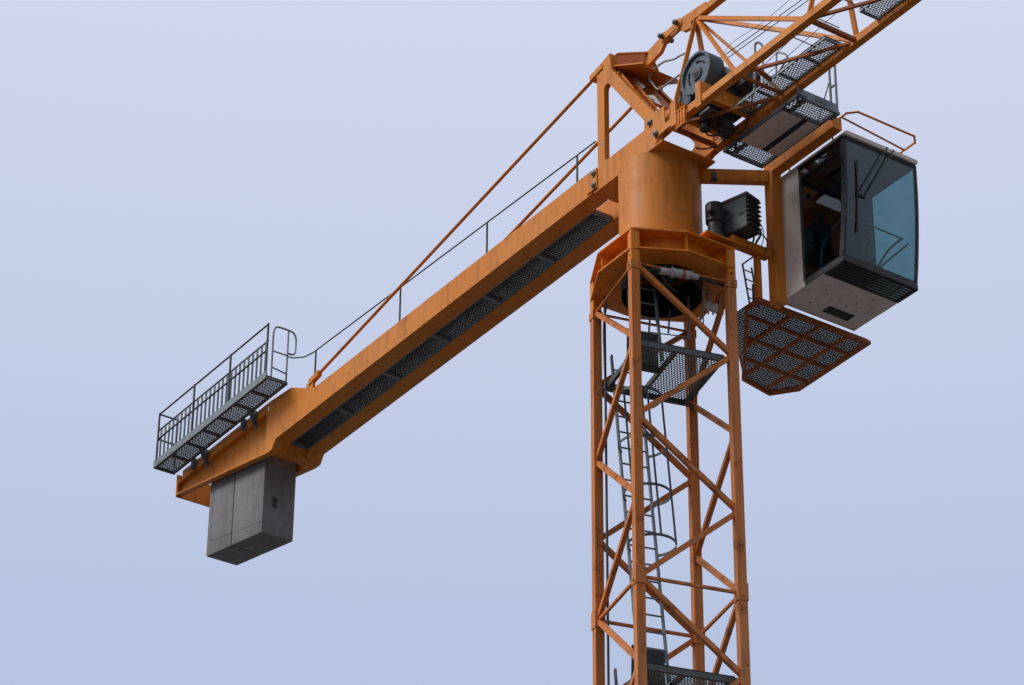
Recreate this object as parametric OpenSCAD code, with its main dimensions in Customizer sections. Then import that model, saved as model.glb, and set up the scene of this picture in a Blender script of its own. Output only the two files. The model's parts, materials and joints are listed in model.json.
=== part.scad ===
// Top-slewing tower crane: square lattice mast, pivot drum with a pinned head, triangular lattice jib,
// box-beam counter-jib with a hung ballast block, and a cab hung beside the jib.
// Origin: centre of the base frame's underside. The jib points along +X, the cab stands on the +Y side.

/* [Base] */
// Height of the crossed base beams
base_h = 300; // [240:20:400]
// Width of the base beam flanges
base_flange_w = 260; // [200:20:320]
// Thickness of the base beam flanges
base_flange_t = 25; // [16:1:40]
// Reach of each base beam from the mast axis
base_reach = 1500; // [1400:50:1700]
// Diameter of the anchor bolt holes
anchor_d = 42; // [30:2:48]
// Circle of the outer anchor bolts
anchor_pcd = 2760; // [2660:10:2800]

/* [Mast] */
// Number of mast sections
mast_sections = 5; // [2:1:6]
// Height of one mast section
section_h = 5000; // [4500:100:5500]
// Bracing panels in one mast section
section_panels = 4; // [4:2:6]
// Spacing of the mast legs, centre to centre
leg_spacing = 1500; // [1400:20:1700]
// Width of a square mast leg
leg_w = 130; // [110:5:150]
// Width of a bracing bar
brace_w = 70; // [50:5:80]
// Width of the thin horizontal bars
strut_w = 40; // [30:5:50]
// Turn of the mast against the jib
mast_turn = -14.6; // [-45:0.1:45]

/* [Ladder and platforms] */
// Width of the ladder between its rail centres
ladder_w = 420; // [360:10:460]
// Spacing of the rungs
rung_pitch = 280; // [250:10:300]
// Drop of a rest platform below its section joint
platform_drop = 1250; // [1150:10:1350]
// Radius of the safety hoops
hoop_r = 340; // [320:5:345]

/* [Ring support and drum] */
// Height of the ring support above the mast
ring_h = 550; // [480:10:640]
// Reach of the ring support at the middle of each side
ring_reach = 1010; // [960:10:1060]
// Radius of the access hole in the ring support
ring_hole_r = 600; // [560:5:620]
// Outer radius of the slewing ring
slew_r = 720; // [700:5:740]
// Height of the slewing ring
slew_h = 90; // [70:5:110]
// Outer radius of the pivot drum
drum_r = 620; // [610:5:640]
// Wall of the pivot drum
drum_wall = 20; // [12:1:30]
// Height of the pivot drum above the slewing ring
drum_h = 1530; // [1400:10:1650]

/* [Head] */
// Distance from the crane's middle to a head side frame
side_y = 450; // [420:5:480]
// Thickness of a head side frame
side_t = 90; // [60:5:110]
// Height of the head above the drum
head_h = 2365; // [2250:5:2450]
// Height of a head side frame's lower member
head_member_h = 430; // [380:10:480]
// Width of a head side frame's front leg
front_leg_w = 195; // [160:5:220]

/* [Jib] */
// Number of whole jib bays
jib_bays = 6; // [2:1:6]
// Length of one jib bay
bay_l = 3200; // [2800:50:3400]
// Start of the lower chords
jib_x0 = 800; // [760:10:900]
// Height of the jib between chord centres
jib_h = 2100; // [1900:20:2200]
// Width of a lower chord
chord_w = 120; // [100:5:130]
// Width of the top chord
top_chord_w = 110; // [90:5:120]
// Width of the jib's side struts
jib_strut_w = 62; // [50:2:70]
// Width of the jib's floor bars
jib_floor_w = 44; // [30:2:60]
// Diameter of the ropes along the jib
rope_d = 14; // [10:1:20]

/* [Counter-jib] */
// Length of the counter-jib's walkway part
counter_l = 9650; // [8000:50:10500]
// Length of the ballast frame behind it
ballast_frame_l = 3350; // [3000:50:3600]
// Height of a counter-jib beam
counter_h = 430; // [380:10:480]
// Width of a counter-jib beam
counter_w = 300; // [220:10:320]
// Distance of the tie bars' lower pins from the ballast frame's joint
tie_reach = 1350; // [1200:10:1450]
// Spacing of the handrail posts
post_pitch = 1300; // [1100:50:1350]
// Height of a handrail
rail_h = 1100; // [1000:10:1200]
// Length of the ballast platform behind the joint
walk_back_l = 3400; // [3000:50:3450]
// Length of the ballast platform beyond the joint
walk_front_l = 680; // [400:20:900]
// Diameter of a tie bar
tie_d = 55; // [40:5:70]

/* [Ballast] */
// Length of the ballast block
ballast_l = 2000; // [1800:50:2200]
// Width of the ballast block
ballast_w = 650; // [600:10:760]
// Height of the ballast block at its front
ballast_h = 1950; // [1600:50:2200]
// Rise of the ballast block's underside toward the tail
ballast_rise = 340; // [0:20:400]

/* [Cab] */
// Length of the cab from its rear wall to the windscreen's foot
cab_l = 1420; // [1400:20:1600]
// Reach of the windscreen's top over its foot
screen_lean = 160; // [80:10:220]
// Bulge of the windscreen at half height
screen_bulge = 45; // [0:5:60]
// Reach of the roof over the windscreen's top
roof_nose = 50; // [30:5:80]
// Width of the cab
cab_w = 1400; // [1300:20:1500]
// Height of the cab
cab_h = 2150; // [2050:20:2250]
// Distance from the crane's middle to the cab's near side
cab_y0 = 1450; // [1400:10:1600]
// Thickness of the cab's panels
cab_wall = 40; // [25:5:60]
// Thickness of the cab's glass
glass_t = 8; // [6:1:12]

/* [Hidden] */

orange = "#d0802f";
mast_orange = "#a5673a";
zinc = "#8f9a9a";
dark = "#33373b";
beige = "#b5a59a";
concrete_grey = "#8a8680";
glass_blue = "#7fa0ad";

// Clearance between pieces that are seated on each other
seat = 0.3;
small = 0.01;
// Thickness of the expanded mesh of floors and walkways
mesh_t = 5;

// Heights from the ground up
mast_z0 = base_h;
mast_top = mast_z0 + mast_sections * section_h;
panel_h = section_h / section_panels;
panels = mast_sections * section_panels;
half = leg_spacing / 2;
ring_top = mast_top + ring_h;
drum_z0 = ring_top + slew_h;
drum_top = drum_z0 + drum_h;

// Levels of the upper part, from the drum's top
chord_z = drum_top + 200;
top_chord_z = chord_z + jib_h;
head_top = drum_top + head_h;
floor_t = 30;
node_x = [for (k = [0:jib_bays]) jib_x0 + 50 + k * bay_l];
top_node_dx = 140;

// Straight bar with a rectangular section between two points
module bar(a, b, w, t) {
  v = b - a;
  translate(a)
    rotate([0, acos(v.z / norm(v)), atan2(v.y, v.x)])
      translate([-t / 2, -w / 2, 0])
        cube([t, w, norm(v)]);
}

// Straight rod between two points
module rod(a, b, d, sides = 24) {
  v = b - a;
  translate(a)
    rotate([0, acos(v.z / norm(v)), atan2(v.y, v.x)])
      cylinder(d = d, h = norm(v), $fn = sides);
}

// Box given by its lowest and highest corners
module block(lo, hi) {
  translate(lo)
    cube(hi - lo);
}

// Points of an outline with round corners; the corner centres run anticlockwise
function rounded(centres, r, steps = 5) = [
  for (i = [0:len(centres) - 1])
    let (before = centres[(i + len(centres) - 1) % len(centres)],
         here = centres[i],
         after = centres[(i + 1) % len(centres)],
         first = atan2(here.y - before.y, here.x - before.x) - 90,
         last = atan2(after.y - here.y, after.x - here.x) - 90,
         turn = (last - first + 720) % 360)
      for (t = [0:steps]) here + r * [cos(first + turn * t / steps), sin(first + turn * t / steps)]
];

// Outline in the XZ plane made a plate of thickness t, its middle at y
module upright(y, t) {
  translate([0, y + t / 2, 0])
    rotate([90, 0, 0])
      linear_extrude(t)
        children();
}

// Whatever belongs to the mast, turned against the jib
module on_mast() {
  rotate([0, 0, mast_turn])
    children();
}

// One flanged beam of the crossed base, along X
module base_beam() {
  web_t = 20;
  translate([-base_reach, -base_flange_w / 2, 0])
    cube([2 * base_reach, base_flange_w, base_flange_t]);
  translate([-base_reach, -base_flange_w / 2, base_h - base_flange_t])
    cube([2 * base_reach, base_flange_w, base_flange_t]);
  translate([-base_reach, -web_t / 2, 0])
    cube([2 * base_reach, web_t, base_h]);
  for (s = [-1, 1], x = [half * sqrt(2), base_reach - web_t / 2])
    translate([s * x - web_t / 2, -base_flange_w / 2, 0])
      cube([web_t, base_flange_w, base_h]);
}

// The anchor holes stand 70 mm beside the webs
anchor_turn = asin(140 / anchor_pcd);
module base_frame() {
  color(orange)
    on_mast()
      difference() {
        union()
          for (a = [45, 135])
            rotate([0, 0, a])
              base_beam();
        for (a = [45:90:315])
          rotate([0, 0, a + anchor_turn])
            translate([anchor_pcd / 2, 0, -1])
              cylinder(d = anchor_d, h = base_flange_t + 2, $fn = 48);
      }
}

// Leg of the whole mast with a collar and two pins at each section joint
module leg_body() {
  collar_w = leg_w + 24;
  collar_h = 130;
  pin_d = 44;
  translate([-leg_w / 2, -leg_w / 2, mast_z0])
    cube([leg_w, leg_w, mast_top - mast_z0]);
  for (k = [0:mast_sections]) {
    z = mast_z0 + k * section_h;
    low = k == 0 ? 0 : collar_h;
    high = k == mast_sections ? 0 : collar_h;
    translate([-collar_w / 2, -collar_w / 2, z - low])
      cube([collar_w, collar_w, low + high]);
    if (k > 0)
      translate([0, collar_w / 2, z - collar_h / 2])
        rotate([90, 0, 0])
          cylinder(d = pin_d, h = collar_w + 20, $fn = 24);
  }
}

module mast_legs() {
  color(mast_orange)
    on_mast()
      for (a = [0:90:270])
        rotate([0, 0, a])
          translate([half, -half, 0])
            leg_body();
}

// Space between two legs, without the collars at the section joints
module between_legs() {
  gap = leg_spacing / 2 - leg_w / 2 - seat;
  collar_h = 130;
  difference() {
    block([-200, -gap, mast_z0], [200, gap, mast_top]);
    for (k = [0:mast_sections], s = [-1, 1])
      translate([-100, s * gap - 12, mast_z0 + k * section_h - collar_h - seat])
        cube([200, 24, 2 * collar_h + 2 * seat]);
  }
}

// Height of a bracing node counted down from the mast's top
function brace_z(i) = mast_top - i * panel_h;

// Zigzag of one mast side, in the plane of its legs
module mast_side() {
  translate([half, 0, 0])
    intersection() {
      union() {
        for (i = [0:panels - 1]) {
          s = i % 2 == 0 ? -1 : 1;
          bar([0, s * half, brace_z(i)], [0, -s * half, brace_z(i + 1)], brace_w, brace_w);
        }
        for (k = [0:mast_sections])
          bar([0, -half, brace_z(k * section_panels)], [0, half, brace_z(k * section_panels)],
              strut_w, strut_w);
      }
      between_legs();
    }
}

module mast_side_at(turn) {
  color(mast_orange)
    on_mast()
      rotate([0, 0, turn])
        mast_side();
}

// Ladder position: X of the ladder's plane for a height counted down from a section joint
ladder_y = -345;
ladder_lean = 0.162;
ladder_x_joint = -760;
function ladder_x(drop) = ladder_x_joint + ladder_lean * drop;
rail_depth = 60;
foot_lift = rail_depth / 2 * ladder_lean + seat;
mesh_lift = mesh_t + seat;
ladder_top_drop = platform_drop - 500;
ladder_foot_drop = section_h + platform_drop;
platform_t = 80;

// One ladder from a rest platform up through the next one, drops counted from the upper section joint
module ladder_flight(top_drop, foot_drop, floor_lift) {
  rail_t = 25;
  foot = foot_drop - foot_lift - floor_lift;
  rungs = floor((foot_drop - top_drop - 200) / rung_pitch);
  for (s = [-1, 1])
    bar([ladder_x(foot), ladder_y + s * ladder_w / 2, -foot],
        [ladder_x(top_drop), ladder_y + s * ladder_w / 2, -top_drop], rail_t, rail_depth);
  for (i = [0:rungs]) {
    drop = foot_drop - 200 - i * rung_pitch;
    rod([ladder_x(drop), ladder_y - ladder_w / 2, -drop],
        [ladder_x(drop), ladder_y + ladder_w / 2, -drop], 28, 8);
  }
}

module mast_ladder() {
  lowest = mast_sections - 1;
  color(zinc)
    on_mast() {
      for (k = [0:lowest])
        translate([0, 0, mast_top - k * section_h])
          ladder_flight(ladder_top_drop, k == lowest ? section_h : ladder_foot_drop, k == lowest ? 0 : mesh_lift);
      translate([0, 0, mast_top + section_h])
        ladder_flight(section_h - ring_h / 2, ladder_foot_drop, mesh_lift);
    }
}

// Safety hoop with its vertical straps along one flight
hoop_drops = [1700, 2550, 3400, 4250];
hoop_dx = 330;
module ladder_hoops() {
  strap_t = 8;
  strap_w = 40;
  end_turn = 180 - asin(ladder_w / 2 / hoop_r);
  for (d = hoop_drops)
    translate([ladder_x(d) + hoop_dx, ladder_y, -d]) {
      rotate([0, 0, -end_turn])
        rotate_extrude(angle = 2 * end_turn, $fn = 48)
          translate([hoop_r - strap_t, 0])
            square([strap_t, strap_w]);
      for (s = [-1, 1])
        block([-hoop_dx + rail_depth / 2 * norm([1, ladder_lean]) + seat, s * ladder_w / 2 - strap_t / 2, 0],
              [(hoop_r - strap_t / 2) * cos(end_turn), s * ladder_w / 2 + strap_t / 2, strap_w]);
    }
  for (a = [-60, 0, 60])
    bar([ladder_x(hoop_drops[3]) + hoop_dx + (hoop_r - strap_t / 2) * cos(a),
         ladder_y + (hoop_r - strap_t / 2) * sin(a), -hoop_drops[3]],
        [ladder_x(hoop_drops[0]) + hoop_dx + (hoop_r - strap_t / 2) * cos(a),
         ladder_y + (hoop_r - strap_t / 2) * sin(a), -hoop_drops[0] + strap_w], 30, strap_t);
}

module ladder_cage() {
  color(dark)
    on_mast()
      for (k = [0:mast_sections - 1])
        translate([0, 0, mast_top - k * section_h])
          ladder_hoops();
}

// Rest platform: a frame of channels with the rim of its hatch
platform_reach = half - brace_w / 2 - 12;
platform_w = platform_reach - 60;
channel_w = 50;
rim_w = 40;
hatch_x1 = ladder_x(platform_drop) + 580;
hatch_y1 = ladder_y + ladder_w / 2 + 30;
module rest_platform() {
  leg_face = half - leg_w / 2 - seat;
  for (s = [-1, 1]) {
    block([s > 0 ? platform_reach - channel_w : -platform_reach, -leg_face, -platform_t],
          [s > 0 ? platform_reach : -platform_reach + channel_w, leg_face, 0]);
    block([-platform_reach, s > 0 ? platform_w - channel_w : -platform_w, -platform_t],
          [platform_reach, s > 0 ? platform_w : -platform_w + channel_w, 0]);
  }
  block([-platform_reach, hatch_y1, -platform_t], [platform_reach, hatch_y1 + rim_w, 0]);
  block([hatch_x1, -platform_w, -platform_t], [hatch_x1 + rim_w, hatch_y1 + rim_w, 0]);
}

module at_rest_platforms() {
  on_mast()
    for (k = [0:mast_sections - 1])
      translate([0, 0, mast_top - k * section_h - platform_drop])
        children();
}

module rest_platforms() {
  color(zinc)
    at_rest_platforms()
      rest_platform();
}

// Two sheets on each frame leave the hatch open
module rest_platform_mesh() {
  rim_x = hatch_x1 + rim_w / 2;
  rim_y = hatch_y1 + rim_w / 2;
  color(zinc)
    at_rest_platforms() {
      block([rim_x, -platform_w, seat], [platform_reach, rim_y - seat, seat + mesh_t]);
      block([-platform_reach, rim_y + seat, seat], [platform_reach, platform_w, seat + mesh_t]);
    }
}

// Hatch lid, standing open on the rim
module hatch_lids() {
  lid_h = 560;
  lid_lean = 4;
  color(dark)
    at_rest_platforms()
      translate([hatch_x1 + 4, -platform_w + channel_w, seat])
        rotate([0, lid_lean, 0])
          translate([0, 0, 1])
            cube([6, platform_w - channel_w + hatch_y1, lid_h]);
}

// Power cable hanging inside the mast
module power_cable() {
  color(dark)
    on_mast()
      rod([-600, -668, mast_z0 + 400], [-600, -668, mast_top + 200 - seat], 36, 12);
}

// Outline of the ring support: corners at the legs, mid-sides pushed out
module ring_outline(h) {
  corner = half + leg_w / 2;
  linear_extrude(h)
    polygon([[corner, -corner], [ring_reach, 0], [corner, corner], [0, ring_reach],
             [-corner, corner], [-ring_reach, 0], [-corner, -corner], [0, -ring_reach]]);
}

module ring_support() {
  plate_t = 25;
  web_r = 790;
  web_t = 20;
  plate_z = mast_top + 200;
  post_pin_z = 100;
  color(orange)
    on_mast() {
      difference() {
        union() {
          translate([0, 0, plate_z])
            ring_outline(plate_t);
          translate([0, 0, ring_top - plate_t])
            ring_outline(plate_t);
          translate([0, 0, plate_z])
            cylinder(r = web_r, h = ring_top - plate_z, $fn = 96);
        }
        translate([0, 0, plate_z - 1])
          cylinder(r = ring_hole_r, h = ring_h, $fn = 96);
        translate([0, 0, plate_z + plate_t])
          cylinder(r = web_r - web_t, h = ring_top - plate_z - 2 * plate_t, $fn = 96);
      }
      for (a = [0:90:270])
        rotate([0, 0, a]) {
          difference() {
            translate([half - leg_w / 2, -half - leg_w / 2, mast_top])
              cube([leg_w, leg_w, ring_h]);
            translate([half, -half, mast_top + post_pin_z])
              rotate([90, 0, 0])
                cylinder(d = 44, h = 2 * leg_w, center = true, $fn = 24);
          }
          translate([web_r - web_t, -web_t / 2, plate_z])
            cube([ring_reach - 40 - web_r, web_t, ring_top - plate_z]);
          rotate([0, 0, -45])
            translate([web_r - web_t, -web_t / 2, plate_z])
              cube([half * sqrt(2) - leg_w / 2 - web_r + web_t, web_t, ring_top - plate_z]);
        }
    }
}

// Fixed geared ring under the drum, which turns in it on its own race
race_r = 650;
race_gap = 0.5;
module slew_ring() {
  color(zinc)
    translate([0, 0, ring_top])
      difference() {
        cylinder(r = slew_r, h = slew_h - 12, $fn = 96);
        translate([0, 0, -1])
          cylinder(r = race_r + race_gap, h = slew_h, $fn = 96);
      }
}

// Drum with its foot flange, and the bracket plate that carries the slewing motor
module pivot_drum() {
  flange_t = 30;
  bracket_x = 1010;
  color(orange)
    difference() {
      union() {
        translate([0, 0, drum_z0])
          cylinder(r = slew_r - 30, h = flange_t, $fn = 96);
        translate([0, 0, ring_top + 8])
          cylinder(r = race_r, h = slew_h, $fn = 96);
        translate([0, 0, drum_z0])
          cylinder(r = drum_r, h = drum_h, $fn = 96);
        block([200, 60, drum_z0], [bracket_x, 700, drum_z0 + flange_t]);
      }
      translate([0, 0, ring_top])
        cylinder(r = drum_r - drum_wall, h = drum_h + slew_h + 1, $fn = 96);
    }
}

motor_pos = [800, 385, drum_z0 + 30 + seat];
module slewing_motor() {
  cowl_d = 270;
  ribs = 16;
  color(dark)
    translate(motor_pos) {
      cylinder(d = 300, h = 60, $fn = 48);
      cylinder(d = 220, h = 360, $fn = 48);
      translate([0, 0, 340])
        cylinder(d = cowl_d, h = 260, $fn = 48);
      for (k = [0:ribs - 1])
        rotate([0, 0, k * 360 / ribs])
          translate([cowl_d / 2 - 6, -8, 360])
            cube([16, 16, 190]);
      translate([0, 0, 600 - small])
        cylinder(d1 = cowl_d - 20, d2 = 170, h = 50, $fn = 48);
    }
}

box_pos = [660, 500, drum_z0 + 30 + 120 + 2 * seat];
module resistor_box() {
  color(dark)
    translate(box_pos)
      rotate([0, 0, 15]) {
        translate([0, 0, 60])
          cube([570, 300, 575]);
        for (y = [40, 220])
          translate([250, y, 0])
            cube([60, 40, 60 + small]);
      }
}

module motor_cables() {
  color(dark)
    for (k = [0:2])
      translate([850 + 50 * k, 1060, drum_z0 + 150 + seat])
        rotate([90, 0, 90])
          rotate_extrude(angle = 180, $fn = 32)
            translate([70 + 20 * k, 0])
              circle(d = 24, $fn = 16);
}

// Floor plate on the drum that carries the head
module head_floor() {
  hatch = 300;
  color(orange)
    difference() {
      block([-1000, -side_y - side_t / 2, drum_top + seat],
            [720, side_y + side_t / 2, drum_top + floor_t]);
      block([-hatch, -hatch, drum_top - 10], [hatch, hatch, drum_top + 100]);
    }
}

// Triangular head side frame: rear leg, slanted front leg and lower member round a rounded opening
head_foot = drum_top + floor_t + seat;
rear_leg_x = -885;
rear_leg_w = 180;
rear_pin_x = -962;
rear_pins = [drum_top + 340, drum_top + 130];
jib_pins = [[460, drum_top + 470], [600, drum_top + 190]];
tie_pin = [-790, head_top - 150];
pin_d = 60;
lug_r = 70;
front_low = [467, drum_top + 701];
front_high = [-507, head_top - 332];
front_slope = (front_high.y - front_low.y) / (front_high.x - front_low.x);
front_out = norm([1, front_slope]) / abs(front_slope);

// X of the line that runs at a depth behind the front leg's outer edge, and its height at an X
function front_x(z, depth) = front_low.x + (z - front_low.y) / front_slope - depth * front_out;
function front_z(x, depth) = front_low.y + (x + depth * front_out - front_low.x) * front_slope;

module head_side_profile() {
  corner_r = 70;
  left = rear_leg_x + rear_leg_w + corner_r;
  low = drum_top + head_member_h + corner_r;
  depth = front_leg_w + corner_r;
  difference() {
    union() {
      for (z = rear_pins) {
        translate([rear_pin_x, z])
          circle(r = lug_r, $fn = 48);
        translate([rear_pin_x, z - lug_r + 4])
          square([rear_leg_x - rear_pin_x + 60, 2 * lug_r - 8]);
      }
      polygon([[rear_leg_x, head_foot], [510, head_foot], [640, drum_top + 90], [725, drum_top + 220],
               [563, drum_top + 591], front_low, front_high, [-554, head_top],
               [rear_leg_x + 15, head_top - 95], [rear_leg_x, head_top - 130]]);
    }
    polygon(rounded([[left, low], [front_x(low, depth), low], [left, front_z(left, depth)]], corner_r));
  }
}

module head_sides() {
  color(orange)
    for (s = [-1, 1])
      difference() {
        upright(s * side_y, side_t)
          head_side_profile();
        for (p = concat(jib_pins, [tie_pin, [rear_pin_x, rear_pins[0]], [rear_pin_x, rear_pins[1]]]))
          translate([p.x, s * side_y, p.y])
            rotate([90, 0, 0])
              cylinder(d = pin_d, h = side_t + 20, center = true, $fn = 32);
      }
}

// Yoke between the tops of the side frames, its nose, and the wall between the front legs
nose_t = 60;
yoke_h = 255;
yoke_pin = [230, head_top + 21];
link_pin = [600, top_chord_z + 118];
eye_r = 80;
module yoke_plan(flange_w) {
  y = side_y - side_t / 2 - seat;
  side_x = -555;
  apex_x = -225;
  w = flange_w / 2;
  polygon([[side_x - w, y], [apex_x - w, 0], [side_x - w, -y], [side_x + w, -y], [apex_x + w, 0], [side_x + w, y]]);
}

module head_cross_beam() {
  flange_t = 25;
  wall_depth = 40;
  wall_t = 20;
  y = side_y - side_t / 2 - seat;
  wall_top = front_high.y;
  wall_low = drum_top + 1320;
  wall_end = head_top - yoke_h + flange_t / 2;
  rib_t = 12;
  color(orange) {
    for (z = [head_top - flange_t, head_top - yoke_h])
      translate([0, 0, z])
        linear_extrude(flange_t)
          yoke_plan(150);
    translate([0, 0, head_top - yoke_h])
      linear_extrude(yoke_h)
        yoke_plan(24);
    difference() {
      upright(0, nose_t)
        union() {
          translate(yoke_pin)
            circle(r = eye_r, $fn = 48);
          polygon([[-260, head_top - yoke_h], [120, head_top - yoke_h + 60], [yoke_pin.x + 30, yoke_pin.y - eye_r + 6],
                   [yoke_pin.x, yoke_pin.y + eye_r - 1], [-260, head_top]]);
        }
      translate([yoke_pin.x, 0, yoke_pin.y])
        rotate([90, 0, 0])
          cylinder(d = pin_d, h = 200, center = true, $fn = 32);
    }
    upright(0, 2 * y)
      polygon([[front_x(wall_low, wall_depth + wall_t), wall_low], [front_x(wall_low, wall_depth), wall_low],
               [front_x(wall_top, wall_depth), wall_top], [front_x(wall_top, wall_depth), wall_end],
               [front_x(wall_top, wall_depth + wall_t), wall_end], [front_x(wall_top, wall_depth + wall_t), wall_top]]);
    for (s = [-1, 0, 1])
      upright(s * y / 2, rib_t)
        polygon([[front_x(wall_low + 60, wall_depth + 100), wall_low + 60],
                 [front_x(wall_low, wall_depth + wall_t / 2), wall_low],
                 [front_x(wall_top, wall_depth + wall_t / 2), wall_top],
                 [front_x(wall_top - 60, wall_depth + 100), wall_top - 60]]);
  }
}

// Two cheeks with a pin at each end, between the yoke's nose and the jib's top chord
module head_link() {
  cheek_t = 20;
  waist = 60;
  color(orange) {
    for (s = [-1, 1])
      upright(s * (nose_t / 2 + seat + cheek_t / 2), cheek_t)
        union() {
          for (p = [yoke_pin, link_pin])
            translate(p)
              circle(r = eye_r + 8, $fn = 48);
          polygon([yoke_pin - [0, waist], link_pin - [0, waist], link_pin + [0, waist], yoke_pin + [0, waist]]);
        }
    for (p = [yoke_pin, link_pin])
      translate([p.x, 0, p.y])
        rotate([90, 0, 0])
          cylinder(d = pin_d - 2 * seat, h = nose_t + 2 * cheek_t + 40, center = true, $fn = 32);
  }
}

// Fork of a lower chord round the front lug of a head side frame, with its pin
module chord_fork() {
  ear_t = 14;
  high = jib_pins[0];
  low = jib_pins[1];
  for (s = [-1, 1])
    upright(s * (side_t / 2 + seat + ear_t / 2), ear_t)
      union() {
        for (p = jib_pins)
          translate(p)
            circle(r = lug_r, $fn = 48);
        polygon([[high.x - lug_r + 10, high.y + 20], [high.x + 20, high.y + lug_r + 40], [800, high.y + lug_r + 40],
                 [812, chord_z + chord_w / 2 - 2], [jib_x0 + 60, chord_z], [jib_x0 + 60, chord_z - chord_w / 2 + 2],
                 [low.x, low.y - lug_r + 2]]);
      }
  for (p = jib_pins)
    translate([p.x, 0, p.y])
      rotate([90, 0, 0])
        cylinder(d = pin_d - 2 * seat, h = side_t + 2 * (seat + ear_t), center = true, $fn = 32);
}

module jib_chords() {
  end_x = node_x[jib_bays];
  top_x0 = node_x[0] + top_node_dx - 80;
  color(orange) {
    for (s = [-1, 1]) {
      translate([jib_x0, s * side_y - chord_w / 2, chord_z - chord_w / 2])
        cube([end_x - jib_x0 + 60, chord_w, chord_w]);
      translate([0, s * side_y, 0])
        chord_fork();
    }
    translate([top_x0, -top_chord_w / 2, top_chord_z - top_chord_w / 2])
      cube([end_x - node_x[0] + 140, top_chord_w, top_chord_w]);
    difference() {
      upright(0, nose_t)
        union() {
          translate(link_pin)
            circle(r = eye_r, $fn = 48);
          polygon([[link_pin.x, link_pin.y - eye_r + 1], [700, top_chord_z - 90], [top_x0 - 10, top_chord_z - 130],
                   [top_x0 - 10, top_chord_z - 50], [top_x0 + 340, top_chord_z + 50],
                   [top_x0 + 340, top_chord_z + 130], [top_x0 - 10, top_chord_z + 165],
                   [link_pin.x + 10, link_pin.y + eye_r - 2]]);
        }
      translate([link_pin.x, 0, link_pin.y])
        rotate([90, 0, 0])
          cylinder(d = pin_d, h = 200, center = true, $fn = 32);
    }
  }
}

// Side struts of the jib: from each top node to the nodes below, in the middle of the bay and at its end
module jib_side(s) {
  top_z = top_chord_z;
  color(orange)
    difference() {
      intersection() {
        union()
          for (k = [0:jib_bays]) {
            top = [node_x[k] + top_node_dx, 0, top_z];
            bar([node_x[k], s * side_y, chord_z], top, jib_strut_w, jib_strut_w);
            if (k < jib_bays) {
              bar([node_x[k] + bay_l / 2, s * side_y, chord_z], top, jib_strut_w - 10, jib_strut_w - 10);
              bar([node_x[k + 1], s * side_y, chord_z], top, jib_strut_w, jib_strut_w);
            }
          }
        block([jib_x0, s > 0 ? seat : -side_y - 200, chord_z],
              [node_x[jib_bays] + 500, s > 0 ? side_y + 200 : -seat, top_z]);
      }
      block([jib_x0 - 100, s * side_y - chord_w / 2 - 200, chord_z - 200],
            [node_x[jib_bays] + 100, s * side_y + chord_w / 2 + 200, chord_z + chord_w / 2]);
      block([0, -top_chord_w / 2, top_z - top_chord_w / 2],
            [node_x[jib_bays] + 500, top_chord_w / 2, top_z + 200]);
    }
}

module jib_floor_lattice() {
  inner = side_y - chord_w / 2;
  color(orange)
    intersection() {
      union()
        for (k = [0:jib_bays]) {
          bar([node_x[k], -side_y, chord_z], [node_x[k], side_y, chord_z], jib_strut_w, jib_strut_w);
          if (k < jib_bays) {
            mid = node_x[k] + bay_l / 2;
            bar([node_x[k], -side_y, chord_z], [mid, side_y, chord_z], jib_floor_w, jib_floor_w);
            bar([mid, side_y, chord_z], [mid, -side_y, chord_z], jib_floor_w, jib_floor_w);
            bar([mid, -side_y, chord_z], [node_x[k + 1], side_y, chord_z], jib_floor_w, jib_floor_w);
          }
        }
      block([jib_x0, -inner, chord_z - 100], [node_x[jib_bays] + 100, inner, chord_z + 100]);
    }
}

function panel_x0(k) = node_x[k] + (k == 0 ? 870 : 500);
function panel_x1(k) = node_x[k] + bay_l - 250;
panel_y0 = 60;
panel_y1 = side_y - chord_w / 2 - seat;
panel_z = chord_z + jib_strut_w / 2 + seat;
module jib_walkway() {
  color(zinc)
    for (k = [0:jib_bays - 1]) {
      for (y = [panel_y0, panel_y1 - 20])
        block([panel_x0(k), y, panel_z], [panel_x1(k), y + 20, panel_z + 40]);
      for (i = [0:4]) {
        x = panel_x0(k) + i * (panel_x1(k) - panel_x0(k) - 30) / 4;
        block([x, panel_y0, panel_z], [x + 30, panel_y1, panel_z + 40]);
      }
    }
}

// Expanded mesh of every walkway on the upper part, lying on its frames
module walkway_mesh() {
  color(zinc) {
    for (k = [0:jib_bays - 1])
      block([panel_x0(k), panel_y0, panel_z + 40 + seat], [panel_x1(k), panel_y1, panel_z + 40 + seat + mesh_t]);
    for (k = [0:counter_panels - 1])
      block([counter_rib_x(k + 1) + 30 + seat, -counter_gap / 2 + seat, counter_floor_z + seat],
            [counter_rib_x(k) + 30 - seat, counter_gap / 2 - seat, counter_floor_z + seat + mesh_t]);
    for (x = [service_x0, service_plate_x1 + seat])
      block([x, service_y0, service_z + service_h + seat],
            [x + service_plate_x0 - service_x0 - seat, service_y1, service_z + service_h + seat + mesh_t]);
    block([ballast_walk_x0, ballast_walk_y0 + seat, platform_z + walk_frame_h + seat],
          [ballast_walk_x1, ballast_walk_y1, platform_z + walk_frame_h + seat + mesh_t]);
    translate([0, 0, cab_platform_z + cab_platform_h + seat])
      linear_extrude(mesh_t)
        polygon(cab_platform_plan);
  }
}

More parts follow.
